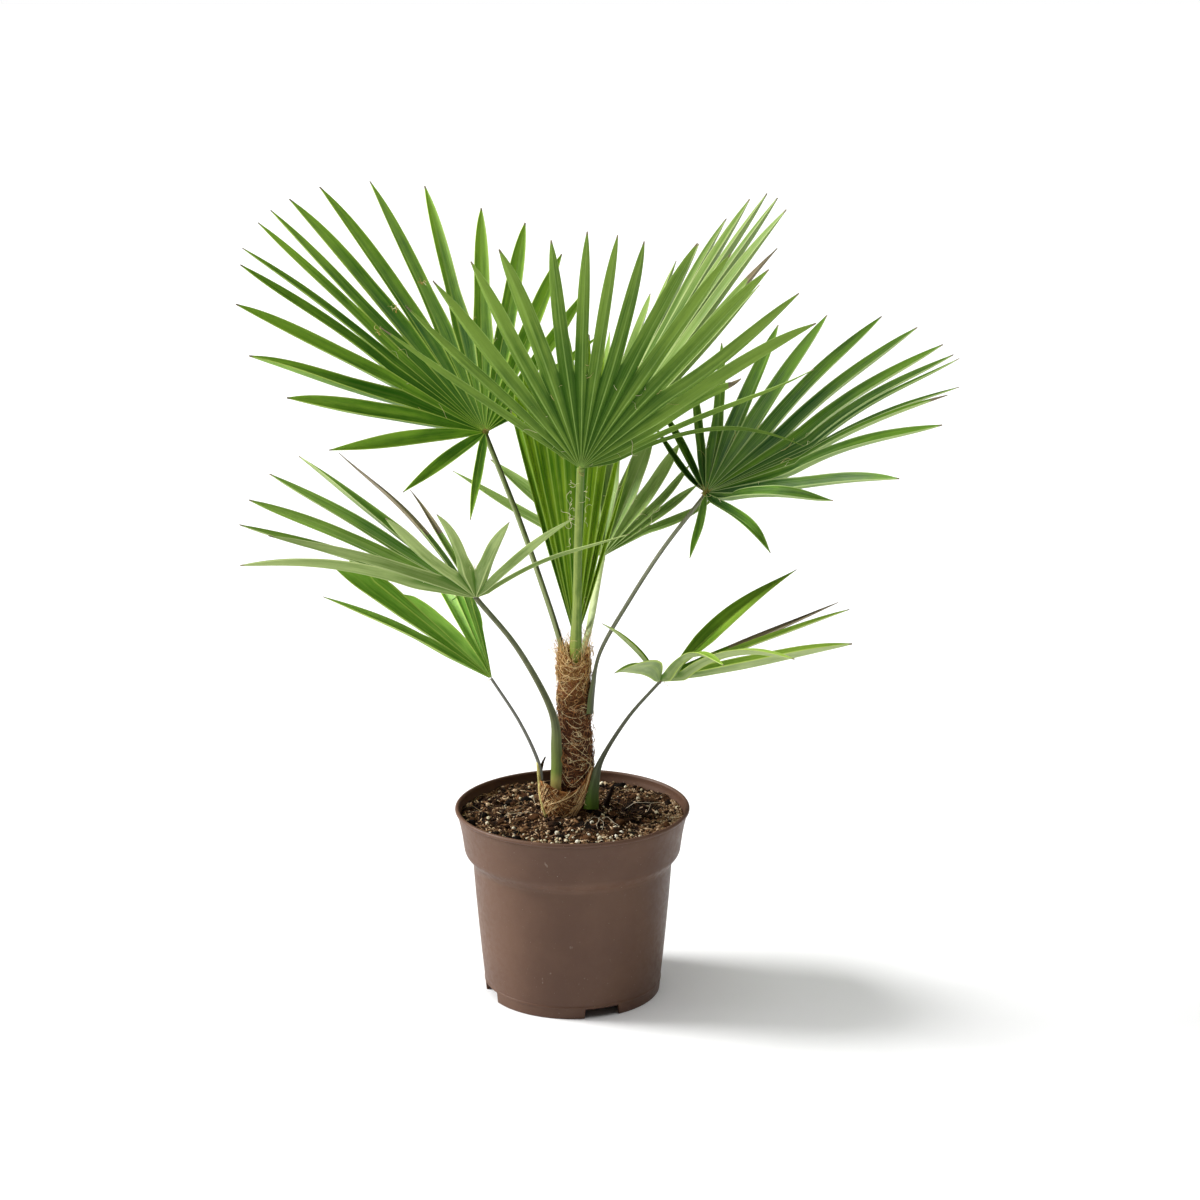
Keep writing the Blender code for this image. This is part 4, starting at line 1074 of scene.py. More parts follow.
def pot_wall():
    """Outline up the outside, over a round lip and down the inside, carried round the axis."""
    heights = np.unique(np.concatenate([np.linspace(0, OUTLINE[-1, 0], 70), OUTLINE[:, 0]]))
    bead = np.radians(np.linspace(-55, 190, 24))
    lip = LIP_RADIUS * np.stack([np.cos(bead), np.sin(bead)], axis=1)
    lip += (RIM_RADIUS - LIP_RADIUS, POT_HEIGHT - LIP_RADIUS)
    outside = np.stack([outer_radius(heights), heights], axis=1)
    profile = np.concatenate([outside, lip, (outside - (WALL, 0))[::-1]])
    flanks = np.outer((NOTCH_HALF_ANGLE, NOTCH_HALF_ANGLE - NOTCH_FLANK), (-1, 1)).ravel()
    sides = np.radians(np.add.outer(NOTCH_HEADINGS, flanks).ravel()) % (2 * np.pi)
    angle = np.unique(np.concatenate([full_turn(TURNS), sides]))
    foot = foot_edge(angle)
    radius, height = profile[:, :1], profile[:, 1:]
    height = np.where(height < POT_FLOOR, foot + (POT_FLOOR - foot) * height / POT_FLOOR, height)
    points = np.stack([radius * np.cos(angle), radius * np.sin(angle), height], axis=-1)
    faces = grid_faces(len(profile), len(angle), closed_rows=True, closed_columns=True)
    return points.reshape(-1, 3), faces


print("wall faces:", len(pot_wall()[1]))

# %% [markdown]
# The floor is made of eight patches, one for each drain hole. A patch spreads from its hole to the borders of
# its sector, so the faces run round the hole without a cut. Triangles to the middle close the disc inside.


# %% The pot's floor
HOLES, HOLE_DISTANCE, HOLE_RADIUS = 8, 0.042, 0.006
PATCH_INNER = 0.022
PATCH_SIDES, PATCH_RINGS = 48, 6


def pot_floor():
    """A patch point is the hole's edge plus a share of the way to where its direction meets the border.

    Each patch runs along its underside to the hole, up the hole's wall and back along its top."""
    outer, half = outer_radius(POT_FLOOR) - WALL / 2, np.pi / HOLES
    corners = np.array([(outer, -half), (outer, half), (PATCH_INNER, half), (PATCH_INNER, -half)])
    place = np.arange(PATCH_SIDES) * 4 / PATCH_SIDES
    side = place.astype(int)
    rest = (place - side)[:, None]
    border = corners[side] * (1 - rest) + corners[(side + 1) % 4] * rest
    border = border[:, :1] * np.stack([np.cos(border[:, 1]), np.sin(border[:, 1])], axis=1)
    hole = np.array([HOLE_DISTANCE, 0]) + HOLE_RADIUS * unit(border - (HOLE_DISTANCE, 0))
    flat = hole + np.linspace(1, 0, PATCH_RINGS)[:, None, None] * (border - hole)
    low = np.concatenate([flat, np.full((PATCH_RINGS, PATCH_SIDES, 1), POT_FLOOR)], axis=-1)
    rows = np.concatenate([low, low[::-1] + (0, 0, WALL)]).reshape(-1, 3)
    turn = (np.arange(HOLES)[:, None] + 0.5) * 2 * half
    x = rows[:, 0] * np.cos(turn) - rows[:, 1] * np.sin(turn)
    y = rows[:, 0] * np.sin(turn) + rows[:, 1] * np.cos(turn)
    vertices = np.stack([x, y, np.broadcast_to(rows[:, 2], x.shape)], axis=-1).reshape(-1, 3)
    vertices = np.concatenate([vertices, [(0, 0, POT_FLOOR), (0, 0, POT_FLOOR + WALL)]])
    middle_low, middle_top = len(vertices) - 2, len(vertices) - 1
    # The border's first quarter is the outer one, and its third quarter faces the middle.
    edge = np.arange(PATCH_SIDES // 4)
    far, near = edge, edge + PATCH_SIDES // 2
    top = (2 * PATCH_RINGS - 1) * PATCH_SIDES
    rim = np.stack([far, far + 1, top + far + 1, top + far], axis=1)
    patch = grid_faces(2 * PATCH_RINGS, PATCH_SIDES, closed_columns=True)[:, ::-1]
    quads = repeated(np.concatenate([patch, rim]), len(rows), HOLES)
    tops = repeated(np.stack([top + near + 1, top + near], axis=1), len(rows), HOLES)
    lows = repeated(np.stack([near, near + 1], axis=1), len(rows), HOLES)
    fans = np.concatenate([np.insert(tops, 2, middle_top, axis=1), np.insert(lows, 2, middle_low, axis=1)])
    # Neighbouring patches share their borders, so corners at one place become one.
    _, first, back = np.unique(np.round(vertices, 6), axis=0, return_index=True, return_inverse=True)
    back = back.ravel()
    return vertices[first], back[quads], back[fans]


print("floor faces:", sum(len(faces) for faces in pot_floor()[1:]))

# %% [markdown]
# The plastic is a matte brown. Moulded plastic is never quite even: it has faint cloudy patches, a fine
# texture that breaks up its sheen, and small pale scuffs from handling. The scuffs are the rare peaks of a
# stretched noise, and the specks of dust are those of a finer one.

# %% Pot finish
plastic, tree, shader = new_finish("pot_plastic")
position = object_place(tree)
marks = place_group(tree, mottle, {"Vector": position, "Size": 16.0})
scuffs = ease(tree, grain(tree, stretch(tree, position, (240, 240, 90)), 1.0, detail=3.0), 0.70, 0.78)
dust = ease(tree, grain(tree, position, 900.0, detail=1.0), 0.74, 0.84)
brown = blend_colours(tree, ease(tree, marks["Blotch"], 0.3, 0.7), colour(90, 64, 50), colour(100, 73, 57))
brown = blend_colours(tree, times(tree, scuffs, 0.35), brown, colour(176, 158, 146))
brown = blend_colours(tree, times(tree, dust, 0.5), brown, colour(196, 180, 166))
rough = ease(tree, marks["Grain"], 0.3, 0.7, 0.42, 0.54)
wire(tree, shader, brown, rough, marks["Grain"], 0.12, 0.0004, gloss=0.25)

wall_points, wall_faces = pot_wall()
floor_points, floor_quads, floor_fans = pot_floor()
pot_groups = [wall_faces, floor_quads + len(wall_points), floor_fans + len(wall_points)]
pot_points = np.concatenate([wall_points, floor_points])
add_piece("nursery_pot", pot_points, pot_groups, plastic, "pot", sharp=40)

# %% [markdown]
# ## Potting soil
#
# Potting soil is a dark crumbly mix. Its surface is a disc of rings whose height adds a low mound and
# lumps of three sizes, with a hollow at one side where the soil has been pulled away. Thousands of crumbs,
# bark chips, perlite grains, sand and roots lie on it, because that mix is what the eye reads as soil.

# %% The soil's surface
SOIL_WALL_HEIGHT = 0.1475
SOIL_MOUND = 0.0065
SOIL_LUMPS = ((0.0021, 0.017, 1), (0.0014, 0.0075, 2), (0.0009, 0.0034, 3))  # height, size and seed
HOLLOW, HOLLOW_DEPTH = np.array([0.046, 0.016]), 0.008
GAP = 0.0003
SOIL_RINGS, SOIL_TURNS = 130, 400


def near_hollow(x, y, wide, deep):
    """1 in the middle of the hollow, fading outwards: exp(-(dx / wide)^2 - (dy / deep)^2)."""
    return np.exp(-(((x - HOLLOW[0]) / wide) ** 2) - ((y - HOLLOW[1]) / deep) ** 2)


def soil_height(x, y):
    """Height at the wall, plus a mound that fades outwards, plus lumps of three sizes, less a hollow."""
    mound = SOIL_MOUND * np.exp(-(x**2 + y**2) / (0.42 * RIM_RADIUS) ** 2)
    lumps = sum(height * flat_noise(x, y, size, seed) for height, size, seed in SOIL_LUMPS)
    return SOIL_WALL_HEIGHT + mound + lumps - HOLLOW_DEPTH * near_hollow(x, y, 0.021, 0.012)


def soil_body():
    """Rings outwards over the top, down beside the pot's wall, and in along the pot's floor."""
    side_heights = np.array([0.142, 0.1265, 0.1195, 0.1178, 0.1126, 0.106, 0.058, POT_FLOOR + WALL + GAP])
    top_radius = outer_radius(SOIL_WALL_HEIGHT) - WALL - GAP
    side_radius = outer_radius(side_heights) - WALL - 2 * GAP
    radius = np.concatenate([np.linspace(0.0006, top_radius, SOIL_RINGS), side_radius])[:, None]
    angle = full_turn(SOIL_TURNS)
    x, y = radius * np.cos(angle), radius * np.sin(angle)
    z = soil_height(x, y)
    z[SOIL_RINGS:] = side_heights[:, None]
    return close_ends(np.stack([x, y, z], axis=-1), (0, 0, soil_height(0.0, 0.0)), (0, 0, side_heights[-1]))


print(f"soil in the middle: {soil_height(0.0, 0.0) / MM:.1f} mm above the table")

# %% [markdown]
# All the loose bits are pebbles: small balls with few faces, pushed in and out at random, squashed and
# turned. A tone for each bit lets one material colour thousands of them differently.


# %% Pebbles and crumbs
def turned(a, b, angle):
    """Two coordinates turned by an angle."""
    return a * np.cos(angle) - b * np.sin(angle), a * np.sin(angle) + b * np.cos(angle)


def pebbles(centres, sizes, squash, turns, draw, rings=3, sides=5, rough=0.3):
    """Ball corners (sin t cos p, sin t sin p, cos t), each moved in or out at random, squashed and turned.

    turns holds a heading and a tilt for each pebble, in radians."""
    count = len(centres)
    t = np.pi * (np.arange(rings) + 1) / (rings + 1)
    p = full_turn(sides)
    ball = [np.outer(np.sin(t), np.cos(p)), np.outer(np.sin(t), np.sin(p)), np.outer(np.cos(t), 1 + 0 * p)]
    ball, groups = close_ends(np.stack(ball, axis=-1), (0, 0, 1), (0, 0, -1))
    push = draw.uniform(1 - rough, 1 + rough, (count, len(ball), 1))
    pushed = ball * push * squash * sizes[:, None, None]
    x, z = turned(pushed[..., 0], pushed[..., 2], turns[:, 1:])
    x, y = turned(x, pushed[..., 1], turns[:, :1])
    vertices = np.stack([x, y, z], axis=-1) + centres[:, None]
    return vertices.reshape(-1, 3), [repeated(faces, len(ball), count) for faces in groups]


TRUNK_FOOT = np.array([0.0035, 0.0])
TRUNK_CLEARANCE = 0.0148
SOIL_REACH = 0.0895


def compass(heading):
    """Level unit vectors that point along the headings."""
    return np.stack([np.cos(heading), np.sin(heading)], axis=-1)


def scatter(draw, count, inner=0.0, outer=SOIL_REACH):
    """Random places on the soil's disc, even in area, kept off the trunk."""
    distance = np.sqrt(draw.uniform(inner**2, outer**2, 3 * count))
    places = distance[:, None] * compass(draw.uniform(0, 2 * np.pi, 3 * count))
    return places[np.linalg.norm(places - TRUNK_FOOT, axis=1) > TRUNK_CLEARANCE][:count]


def on_soil(places, lift):
    """The places, standing at the soil's height plus a lift."""
    return np.concatenate([places, (soil_height(places[:, 0], places[:, 1]) + lift)[:, None]], axis=1)


test_places = scatter(np.random.default_rng(0), 100)
print(f"a hundred bits lie {np.linalg.norm(test_places, axis=1).mean() / MM:.0f} mm from the axis on average")

# %% [markdown]
# One function makes the finishes of soil, sand, perlite, bark and roots: each bit's tone chooses between a
# dark, a middle and a light shade, and two sizes of noise break it up. Only the three shades differ, and the
# roughness a little.


# %% Soil finish
def earth_finish(name, *shades, rough=0.92):
    """Brown crumbs: the tone of each bit chooses a colour, and fine grain breaks it up."""
    finish, tree, shader = new_finish(name)
    dark, middle, light = (colour(*shade) for shade in shades)
    position = object_place(tree)
    marks = place_group(tree, mottle, {"Vector": position, "Size": 110.0})
    blotch = maths(tree, "SUBTRACT", marks["Blotch"], 0.5)
    specks = maths(tree, "SUBTRACT", grain(tree, position, 1500.0, detail=2.0), 0.5)
    share = total(tree, mark(tree, "tone"), times(tree, blotch, 0.9), times(tree, specks, 0.6))
    mixed = blend_colours(tree, ease(tree, share, 0.15, 0.55), dark, middle)
    mixed = blend_colours(tree, ease(tree, share, 0.6, 1.0), mixed, light)
    roughness = ease(tree, marks["Grain"], 0.3, 0.7, rough - 0.1, rough)
    wire(tree, shader, mixed, roughness, marks["Grain"], 0.8, 0.0012, gloss=0.12)
    return finish


soil_look = earth_finish("soil_mix", (12, 4, 0), (84, 54, 30), (160, 126, 90))
crumb_look = earth_finish("soil_crumbs", (34, 16, 8), (138, 102, 70), (220, 190, 154))
sand_look = earth_finish("sand_grains", (104, 74, 46), (176, 142, 106), (236, 214, 180), rough=0.7)
perlite_look = earth_finish("perlite_grains", (188, 172, 134), (222, 210, 176), (244, 238, 218), rough=0.85)
bark_look = earth_finish("bark_chips", (34, 19, 9), (92, 58, 34), (150, 112, 76), rough=0.8)
thread_look = earth_finish("root_threads", (112, 80, 48), (168, 138, 98), (226, 214, 190), rough=0.7)
print("finishes so far:", len(bpy.data.materials))

# %% [markdown]
# The bed's tone varies slowly over its surface, so its shade does too. Whatever lies on it is placed by one
# function, which turns each bit at random and sinks it by a share of its size.

# %% The soil bed
draw = np.random.default_rng(7)
soil_points, soil_groups = soil_body()
tone = {"tone": 0.30 + 0.2 * flat_noise(soil_points[:, 0], soil_points[:, 1], 0.009, 11)}
add_piece("soil_bed", soil_points, soil_groups, soil_look, "soil", values=tone, sharp=None)


def add_pebbles(name, places, sizes, squash, look, slot, tones, stands_for=None, sink=0.3, tilt=0.4, **shape):
    """Pebbles lying on the soil, sunk by a share of their size."""
    lift = sizes * np.min(squash) * (1 - 2 * sink)
    turns = np.stack([draw.uniform(0, 2 * np.pi, len(places)), draw.normal(0, tilt, len(places))], axis=1)
    vertices, groups = pebbles(on_soil(places, lift), sizes, squash, turns, draw, **shape)
    tone = {"tone": np.repeat(tones, len(vertices) // len(places))}
    return add_piece(name, vertices, groups, look, stands_for, values=tone, sharp=None)


# %% [markdown]
# Crumbs of every size lie on the bed, most of them small, so their sizes follow a log-normal draw. Larger
# clods are sunk deeper, slivers lie nearly flat, and pale sand has gathered along the pot's wall in front.

# %% Crumbs, clods, slivers and sand
crumbs = scatter(draw, 3000)
crumb_sizes = np.clip(draw.lognormal(-6.95, 0.45, len(crumbs)), 0.0004, 0.0028)
# Crumbs in the hollow get dark tones: painted shade in the recess.
crumb_tones = draw.beta(0.9, 1.2, len(crumbs)) * (1 - 0.95 * near_hollow(*crumbs.T, 0.03, 0.022))
add_pebbles("soil_crumbs", crumbs, crumb_sizes, (1, 0.8, 0.65), crumb_look, "potting_soil", crumb_tones)

clods = scatter(draw, 60, outer=0.084)
add_pebbles(
    "soil_clods", clods, draw.uniform(0.0025, 0.0062, len(clods)), (1, 0.8, 0.55), soil_look, "potting_soil",
    draw.uniform(0.0, 0.55, len(clods)), sink=0.42, rings=7, sides=12, rough=0.22,
)

slivers = scatter(draw, 420, outer=0.087)
add_pebbles(
    "soil_slivers", slivers, draw.uniform(0.0012, 0.0042, len(slivers)), (1, 0.2, 0.14), crumb_look,
    "potting_soil", draw.uniform(0.45, 1.2, len(slivers)), sink=0.0, tilt=0.45, rough=0.15,
)

heading = np.radians(draw.uniform(-118, 22, 2600))
band = 0.006 + 0.007 * np.exp(-(((heading + 0.6) / 0.5) ** 2))
distance = SOIL_REACH + 0.0002 - np.abs(draw.normal(0, 1, len(heading))) * band
sand = distance[:, None] * compass(heading)
add_pebbles(
    "sand_grains", sand, draw.uniform(0.0004, 0.0011, len(sand)), (1, 0.9, 0.7), sand_look, "potting_soil",
    draw.beta(2, 1.6, len(sand)), sides=4,
)

# %% [markdown]
# Perlite is white puffed glass, and bark is added to keep the mix airy. The larger bits are the ones that the
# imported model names, so their places come from a table, and finer ones are strewn between them.

# %% Perlite
# Distance from the axis, heading in degrees and size in millimetres of the larger bits.
PERLITE = np.array([
    (47, -105, 4.2), (33, -62, 3.8), (60, -50, 4.6), (70, -128, 4.0), (52, 150, 3.6), (66, 35, 4.0),
])
# Level places of smaller bits that show, in millimetres, with the width of each.
GRAINS = np.array([
    (-47, -33, 3.6), (-24, -9, 3.2), (-54, 26, 3.0), (-43, 38, 2.8), (-49, 51, 2.6), (24, -16, 4.4),
    (34, -37, 3.8), (23, -66, 3.6), (13, -52, 2.8), (20, -52, 3.2), (-5, -66, 3.2), (4, -69, 4.2),
    (31, 8, 3.4), (-36, 66, 2.8), (14, -62, 2.6), (-12, -60, 2.6), (30, -60, 3.0),
])
everywhere, in_front = scatter(draw, 80), scatter(draw, 500)
loose = np.concatenate([everywhere, in_front[in_front[:, 1] < -0.045]])[:190]
places = np.concatenate([PERLITE[:, :1] * MM * compass(np.radians(PERLITE[:, 1])), GRAINS[:, :2] * MM, loose])
small = np.clip(draw.lognormal(-6.9, 0.4, len(loose)), 0.0005, 0.0022)
sizes = np.concatenate([PERLITE[:, 2] * MM / 2, GRAINS[:, 2] * MM / 2, small])
nodes = [f"perlite_{number}" for number in range(1, 7)]
tones = draw.beta(2.5, 1.5, len(places))
add_pebbles(
    "perlite_grains", places, sizes, (1, 0.85, 0.8), perlite_look, "perlite", tones, nodes,
    rings=5, sides=8, rough=0.16,
)

# %% [markdown]
# Bark chips are pebbles too, but long and flat, and they lie nearly level.

# %% Bark
BARK = np.array([(48, -25, 16), (58, -150, 14), (40, 120, 15), (66, 80, 13)])  # as in the perlite's table
loose = scatter(draw, 90)
places = np.concatenate([BARK[:, :1] * MM * compass(np.radians(BARK[:, 1])), loose])
sizes = np.concatenate([BARK[:, 2] * MM / 2, draw.uniform(0.0012, 0.0048, len(loose))])
nodes = [f"bark_chip_{number}" for number in range(1, 5)]
add_pebbles(
    "bark_chips", places, sizes, (1, 0.34, 0.2), bark_look, "bark", draw.beta(1.6, 1.8, len(places)), nodes,
    tilt=0.25, rings=5, sides=8, rough=0.2,
)

# %% [markdown]
# ## Roots and coir
#
# Thin pale roots and coir hairs lie over the soil. Each one wanders: its heading drifts as it goes, and its
# height follows the soil, so it seems to lie there.

# %% Wandering paths
THREAD_POINTS = 14


def wander(starts, headings, lengths, drift, draw):
    """Level paths whose heading drifts: each step adds a little turn, and the turns are smooth."""
    count = len(starts)
    share = np.linspace(0, 1, THREAD_POINTS)
    wave = draw.uniform(0.5, 1.6, (count, 1)) * np.pi * 2 * share + draw.uniform(0, 2 * np.pi, (count, 1))
    heading = headings[:, None] + drift * np.sin(wave) + draw.normal(0, drift, (count, 1)) * share
    steps = (lengths / (THREAD_POINTS - 1))[:, None]
    x = starts[:, :1] + np.cumsum(steps * np.cos(heading), axis=1)
    y = starts[:, 1:] + np.cumsum(steps * np.sin(heading), axis=1)
    return x, y


def lay_threads(x, y, lift, hump):
    """Level paths laid on the soil, raised in the middle by a hump and kept inside the pot."""
    reach = np.hypot(x, y)
    inside = np.minimum(1, (SOIL_REACH + 0.0005) / np.maximum(reach, 1e-6))
    x, y = x * inside, y * inside
    share = np.linspace(0, 1, x.shape[1])
    z = soil_height(x, y) + lift + hump[:, None] * np.sin(np.pi * share)
    return np.stack([x, y, z], axis=-1)


print("points along a thread:", THREAD_POINTS)

# %% [markdown]
# The coir hairs are strewn anywhere. The stouter roots start where they show, four of them at the trunk's
# foot.

# %% Roots over the soil
hairs = scatter(draw, 190)
headings, lengths = draw.uniform(0, 2 * np.pi, len(hairs)), draw.uniform(0.006, 0.026, len(hairs))
x, y = wander(hairs, headings, lengths, 0.7, draw)
hair_paths = lay_threads(x, y, 0.0004, draw.uniform(0, 0.004, len(hairs)))
# Starts of the stouter roots: place from the axis in millimetres, heading in degrees, length in millimetres.
ROOTS = np.array([
    (22, -20, -75, 22), (22, -20, -105, 20), (23, -20, -45, 26), (21, -21, -130, 16), (42, 24, 10, 30),
    (60, 14, 60, 16), (-56, -8, 25, 20), (-40, -4, 200, 16), (-46, -14, 20, 14), (-30, 18, 100, 14),
])
x, y = wander(ROOTS[:, :2] * MM, np.radians(ROOTS[:, 2]), ROOTS[:, 3] * MM, 0.3, draw)
root_paths = lay_threads(x, y, 0.0007, draw.uniform(0.001, 0.004, len(ROOTS)))
paths = np.concatenate([hair_paths, root_paths])
thick = np.concatenate([draw.uniform(0.00008, 0.0002, len(hairs)), draw.uniform(0.0002, 0.0004, len(ROOTS))])
radii = thick[:, None] * np.linspace(1, 0.5, THREAD_POINTS)
tones = np.concatenate([draw.uniform(0, 0.7, len(hairs)), draw.uniform(0.7, 1.1, len(ROOTS))])
add_tubes("soil_threads", paths, radii, thread_look, tones)

# %% [markdown]
# ## The trunk
#
# A young windmill palm's trunk is hidden by the fibrous bases of old leaves: a brown mat of crossing strands,
# golden near the top where it is fresh, with hairs that stand off it. A lumpy column gives the mass, and
# many thin strands wound round it in both directions give the mat its depth.

# %% The column
TRUNK_OUTLINE = np.array([
    (132, 11.5), (150, 14.2), (165, 13.9), (182, 13.2), (200, 13.4), (222, 12.6), (246, 12.8), (262, 12.6),
    (275, 13.0), (291, 12.6),
]) * MM
TRUNK_LOW, TRUNK_TOP = 0.132, 0.287
COLUMN_ENDS = (0.131, 0.276)
MEAN_RADIUS = 0.013
FRONT = np.radians(-84)


def trunk_radius(height):
    """The trunk's radius at a height."""
    return np.interp(height, TRUNK_OUTLINE[:, 0], TRUNK_OUTLINE[:, 1])


def trunk_axis(height):
    """Where the axis stands: the trunk leans, so that its foot is a little to the right of its top."""
    return 0.0015 + 0.002 * np.clip((0.24 - height) / 0.06, 0, 1)


def from_front(angle):
    """The angle between a direction and the trunk's front, from minus pi to pi."""
    return np.angle(np.exp(1j * (angle - FRONT)))


def trunk_top(angle):
    """Height of the ragged upper edge, with a cleft in front where the front stalk comes out."""
    ragged = flat_noise(np.cos(angle), np.sin(angle), 0.35, 21)
    return TRUNK_TOP + 0.0024 * ragged - 0.0105 * np.exp(-((from_front(angle) / 0.45) ** 2))


def around_trunk(angle, height, radius):
    """Points at an angle and a radius from the trunk's axis."""
    return np.stack([trunk_axis(height) + radius * np.cos(angle), radius * np.sin(angle), height], axis=-1)


def trunk_column():
    """Radius read from the outline plus noise, up to the ragged edge and then down into the crown."""
    angle = full_turn(160)
    top = trunk_top(angle)[None, :]
    height = TRUNK_LOW + np.linspace(0, 1, 150)[:, None] * (top - TRUNK_LOW)
    radius = trunk_radius(height)
    inward = np.array([0.94, 0.85, 0.72, 0.5, 0.25, 0.06])[:, None]
    sunk = np.array([0.0, 0.0016, 0.004, 0.007, 0.008, 0.008])[:, None]
    height = np.concatenate([height, top - sunk])
    radius = np.concatenate([radius, radius[-1:] * inward])
    angle = np.broadcast_to(angle, height.shape)
    points = around_trunk(angle, height, radius)
    lumps = 0.0007 * noise(points, 0.0065, 31) + 0.0005 * noise(points, 0.0026, 32)
    return around_trunk(angle, height, radius + lumps)


print(f"trunk: {trunk_radius(0.2) / MM:.1f} mm in radius, with its top {TRUNK_TOP / MM:.0f} mm up")

# %% [markdown]
# The fibre's finish reads the height, because fresh fibre near the top is more golden, and a tone for each
# strand. The column that carries the strands has darker shades than they do: painted shade, so the gaps
# between the strands look deep.


# %% Fibre finish
def fibre_finish(name, *shades):
    """Brown strands that turn golden towards the trunk's top, with a tone for each strand."""
    finish, tree, shader = new_finish(name)
    dark, middle, light, golden = (colour(*shade) for shade in shades)
    position = object_place(tree)
    height = add_node(tree, "ShaderNodeSeparateXYZ", {0: position}).outputs[2]
    marks = place_group(tree, mottle, {"Vector": position, "Size": 90.0})
    fresh = ease(tree, height, 0.225, 0.288)
    blotch = times(tree, maths(tree, "SUBTRACT", marks["Blotch"], 0.5), 0.8)
    share = total(tree, mark(tree, "tone"), blotch, times(tree, fresh, 0.22))
    mixed = blend_colours(tree, ease(tree, share, 0.1, 0.6), dark, middle)
    mixed = blend_colours(tree, ease(tree, share, 0.55, 1.05), mixed, light)
    mixed = blend_colours(tree, times(tree, fresh, 0.4), mixed, golden)
    rough = ease(tree, marks["Grain"], 0.3, 0.7, 0.7, 0.88)
    wire(tree, shader, mixed, rough, marks["Grain"], 0.7, 0.001, gloss=0.15)
    return finish


# The column's darker shades are painted shade for the gaps between the strands.
mat_painted_shade_look = fibre_finish("fibre_mat_painted_shade", (70, 40, 22), (110, 70, 44), (150, 108, 68), (170, 106, 46))
strand_look = fibre_finish("fibre_strands", (80, 40, 18), (178, 120, 74), (255, 234, 184), (252, 206, 122))
low_end, high_end = ((trunk_axis(height), 0, height) for height in COLUMN_ENDS)
column, groups = close_ends(trunk_column(), low_end, high_end)
column_tone = {"tone": 0.25 + 0.2 * noise(column, 0.005, 33)}
add_piece("trunk_column", column, groups, mat_painted_shade_look, "trunk", values=column_tone, sharp=None)

# %% [markdown]
# Most strands are drawn at random: where they start, how far they wind, how steeply they climb, and how much
# they loop on the way. A table adds the few stouter pale ones that catch the eye.

# %% A strand's path round the trunk
WEAVE = 0.00035


def wound(angle, height, sweep, climb, lift, draw):
    """Paths round the trunk: angle and height change evenly, plus loop x (sin phase, cos phase)."""
    count = len(angle)
    share = np.linspace(0, 1, THREAD_POINTS)
    phase = 2 * np.pi * (share * draw.uniform(0.4, 1.7, (count, 1)) + draw.uniform(0, 1, (count, 1)))
    loop = draw.gamma(2.0, 0.0007, (count, 1))
    turn = angle[:, None] + sweep[:, None] * share + loop * np.sin(phase) / MEAN_RADIUS
    rise = height[:, None] + climb[:, None] * share + loop * np.cos(phase + draw.normal(0, 0.5, (count, 1)))
    rise = np.minimum(rise, trunk_top(turn) + 0.001)
    weave = WEAVE * np.sin(2 * np.pi * (share * 2.5 + draw.uniform(0, 1, (count, 1))))
    return around_trunk(turn, rise, trunk_radius(rise) + lift[:, None] + weave)


def strand_radii(thickness):
    """Thick in the middle and thin at both ends."""
    share = np.linspace(0, 1, THREAD_POINTS)
    return thickness[:, None] * (0.25 + 0.75 * np.sin(np.pi * share) ** 0.6)


print("radii along a strand:", strand_radii(np.ones(1))[0].round(2).tolist())

# %% [markdown]
# The strands' starts and sweeps are drawn all at once. The pale ones go round too, each from its own row of
# the table, and sag a little between their ends.

# %% Strands wound round the trunk
STRANDS = 1700
PALE_LIFT = 0.0012
strands = wound(
    draw.uniform(0, 2 * np.pi, STRANDS), draw.uniform(0.150, 0.283, STRANDS), draw.normal(0, 0.5, STRANDS),
    draw.normal(0.001, 0.006, STRANDS), draw.gamma(2.0, 0.00045, STRANDS), draw,
)
# Stouter pale strands: start and end angle in degrees, start and end height and sag in millimetres.
PALE = np.array([
    (-158, -24, 240, 238, 5.5), (-150, -40, 284, 281, 7), (-128, -52, 247, 268, 0), (-70, -20, 243, 238, 0),
    (-140, -30, 220, 196, 0), (-110, -20, 205, 188, -3), (-60, -10, 258, 277, 0), (-150, -95, 262, 252, 2),
    (-165, -80, 276, 268, 4), (-40, 10, 228, 240, 0), (-100, -30, 178, 194, 0), (-120, -60, 231, 226, 3),
    (100, 190, 250, 262, 3), (20, 120, 230, 222, 4), (60, 170, 205, 215, 3), (150, 230, 270, 262, 2),
])
share = np.linspace(0, 1, THREAD_POINTS)
turn = np.radians(PALE[:, :1] + (PALE[:, 1:2] - PALE[:, :1]) * share)
rise = (PALE[:, 2:3] + (PALE[:, 3:4] - PALE[:, 2:3]) * share - PALE[:, 4:] * np.sin(np.pi * share)) * MM
pale = around_trunk(turn, rise, trunk_radius(rise) + PALE_LIFT)
thickness = np.concatenate([draw.uniform(0.00012, 0.00036, STRANDS), draw.uniform(0.0003, 0.0005, len(PALE))])
tones = np.concatenate([draw.beta(0.8, 1.0, STRANDS), draw.uniform(1.0, 1.3, len(PALE))])
paths = np.concatenate([strands, pale])
radii = strand_radii(thickness)
add_tubes("trunk_strands", paths, radii, strand_look, tones, "trunk", sides=3)

# %% [markdown]
# Fine hairs stand off the mat all round, and a frayed collar of golden fibres closes the trunk's top round
# the stalks. Both are curls: a direction that keeps turning about its own path.

# %% Curls
CURL_POINTS = 12


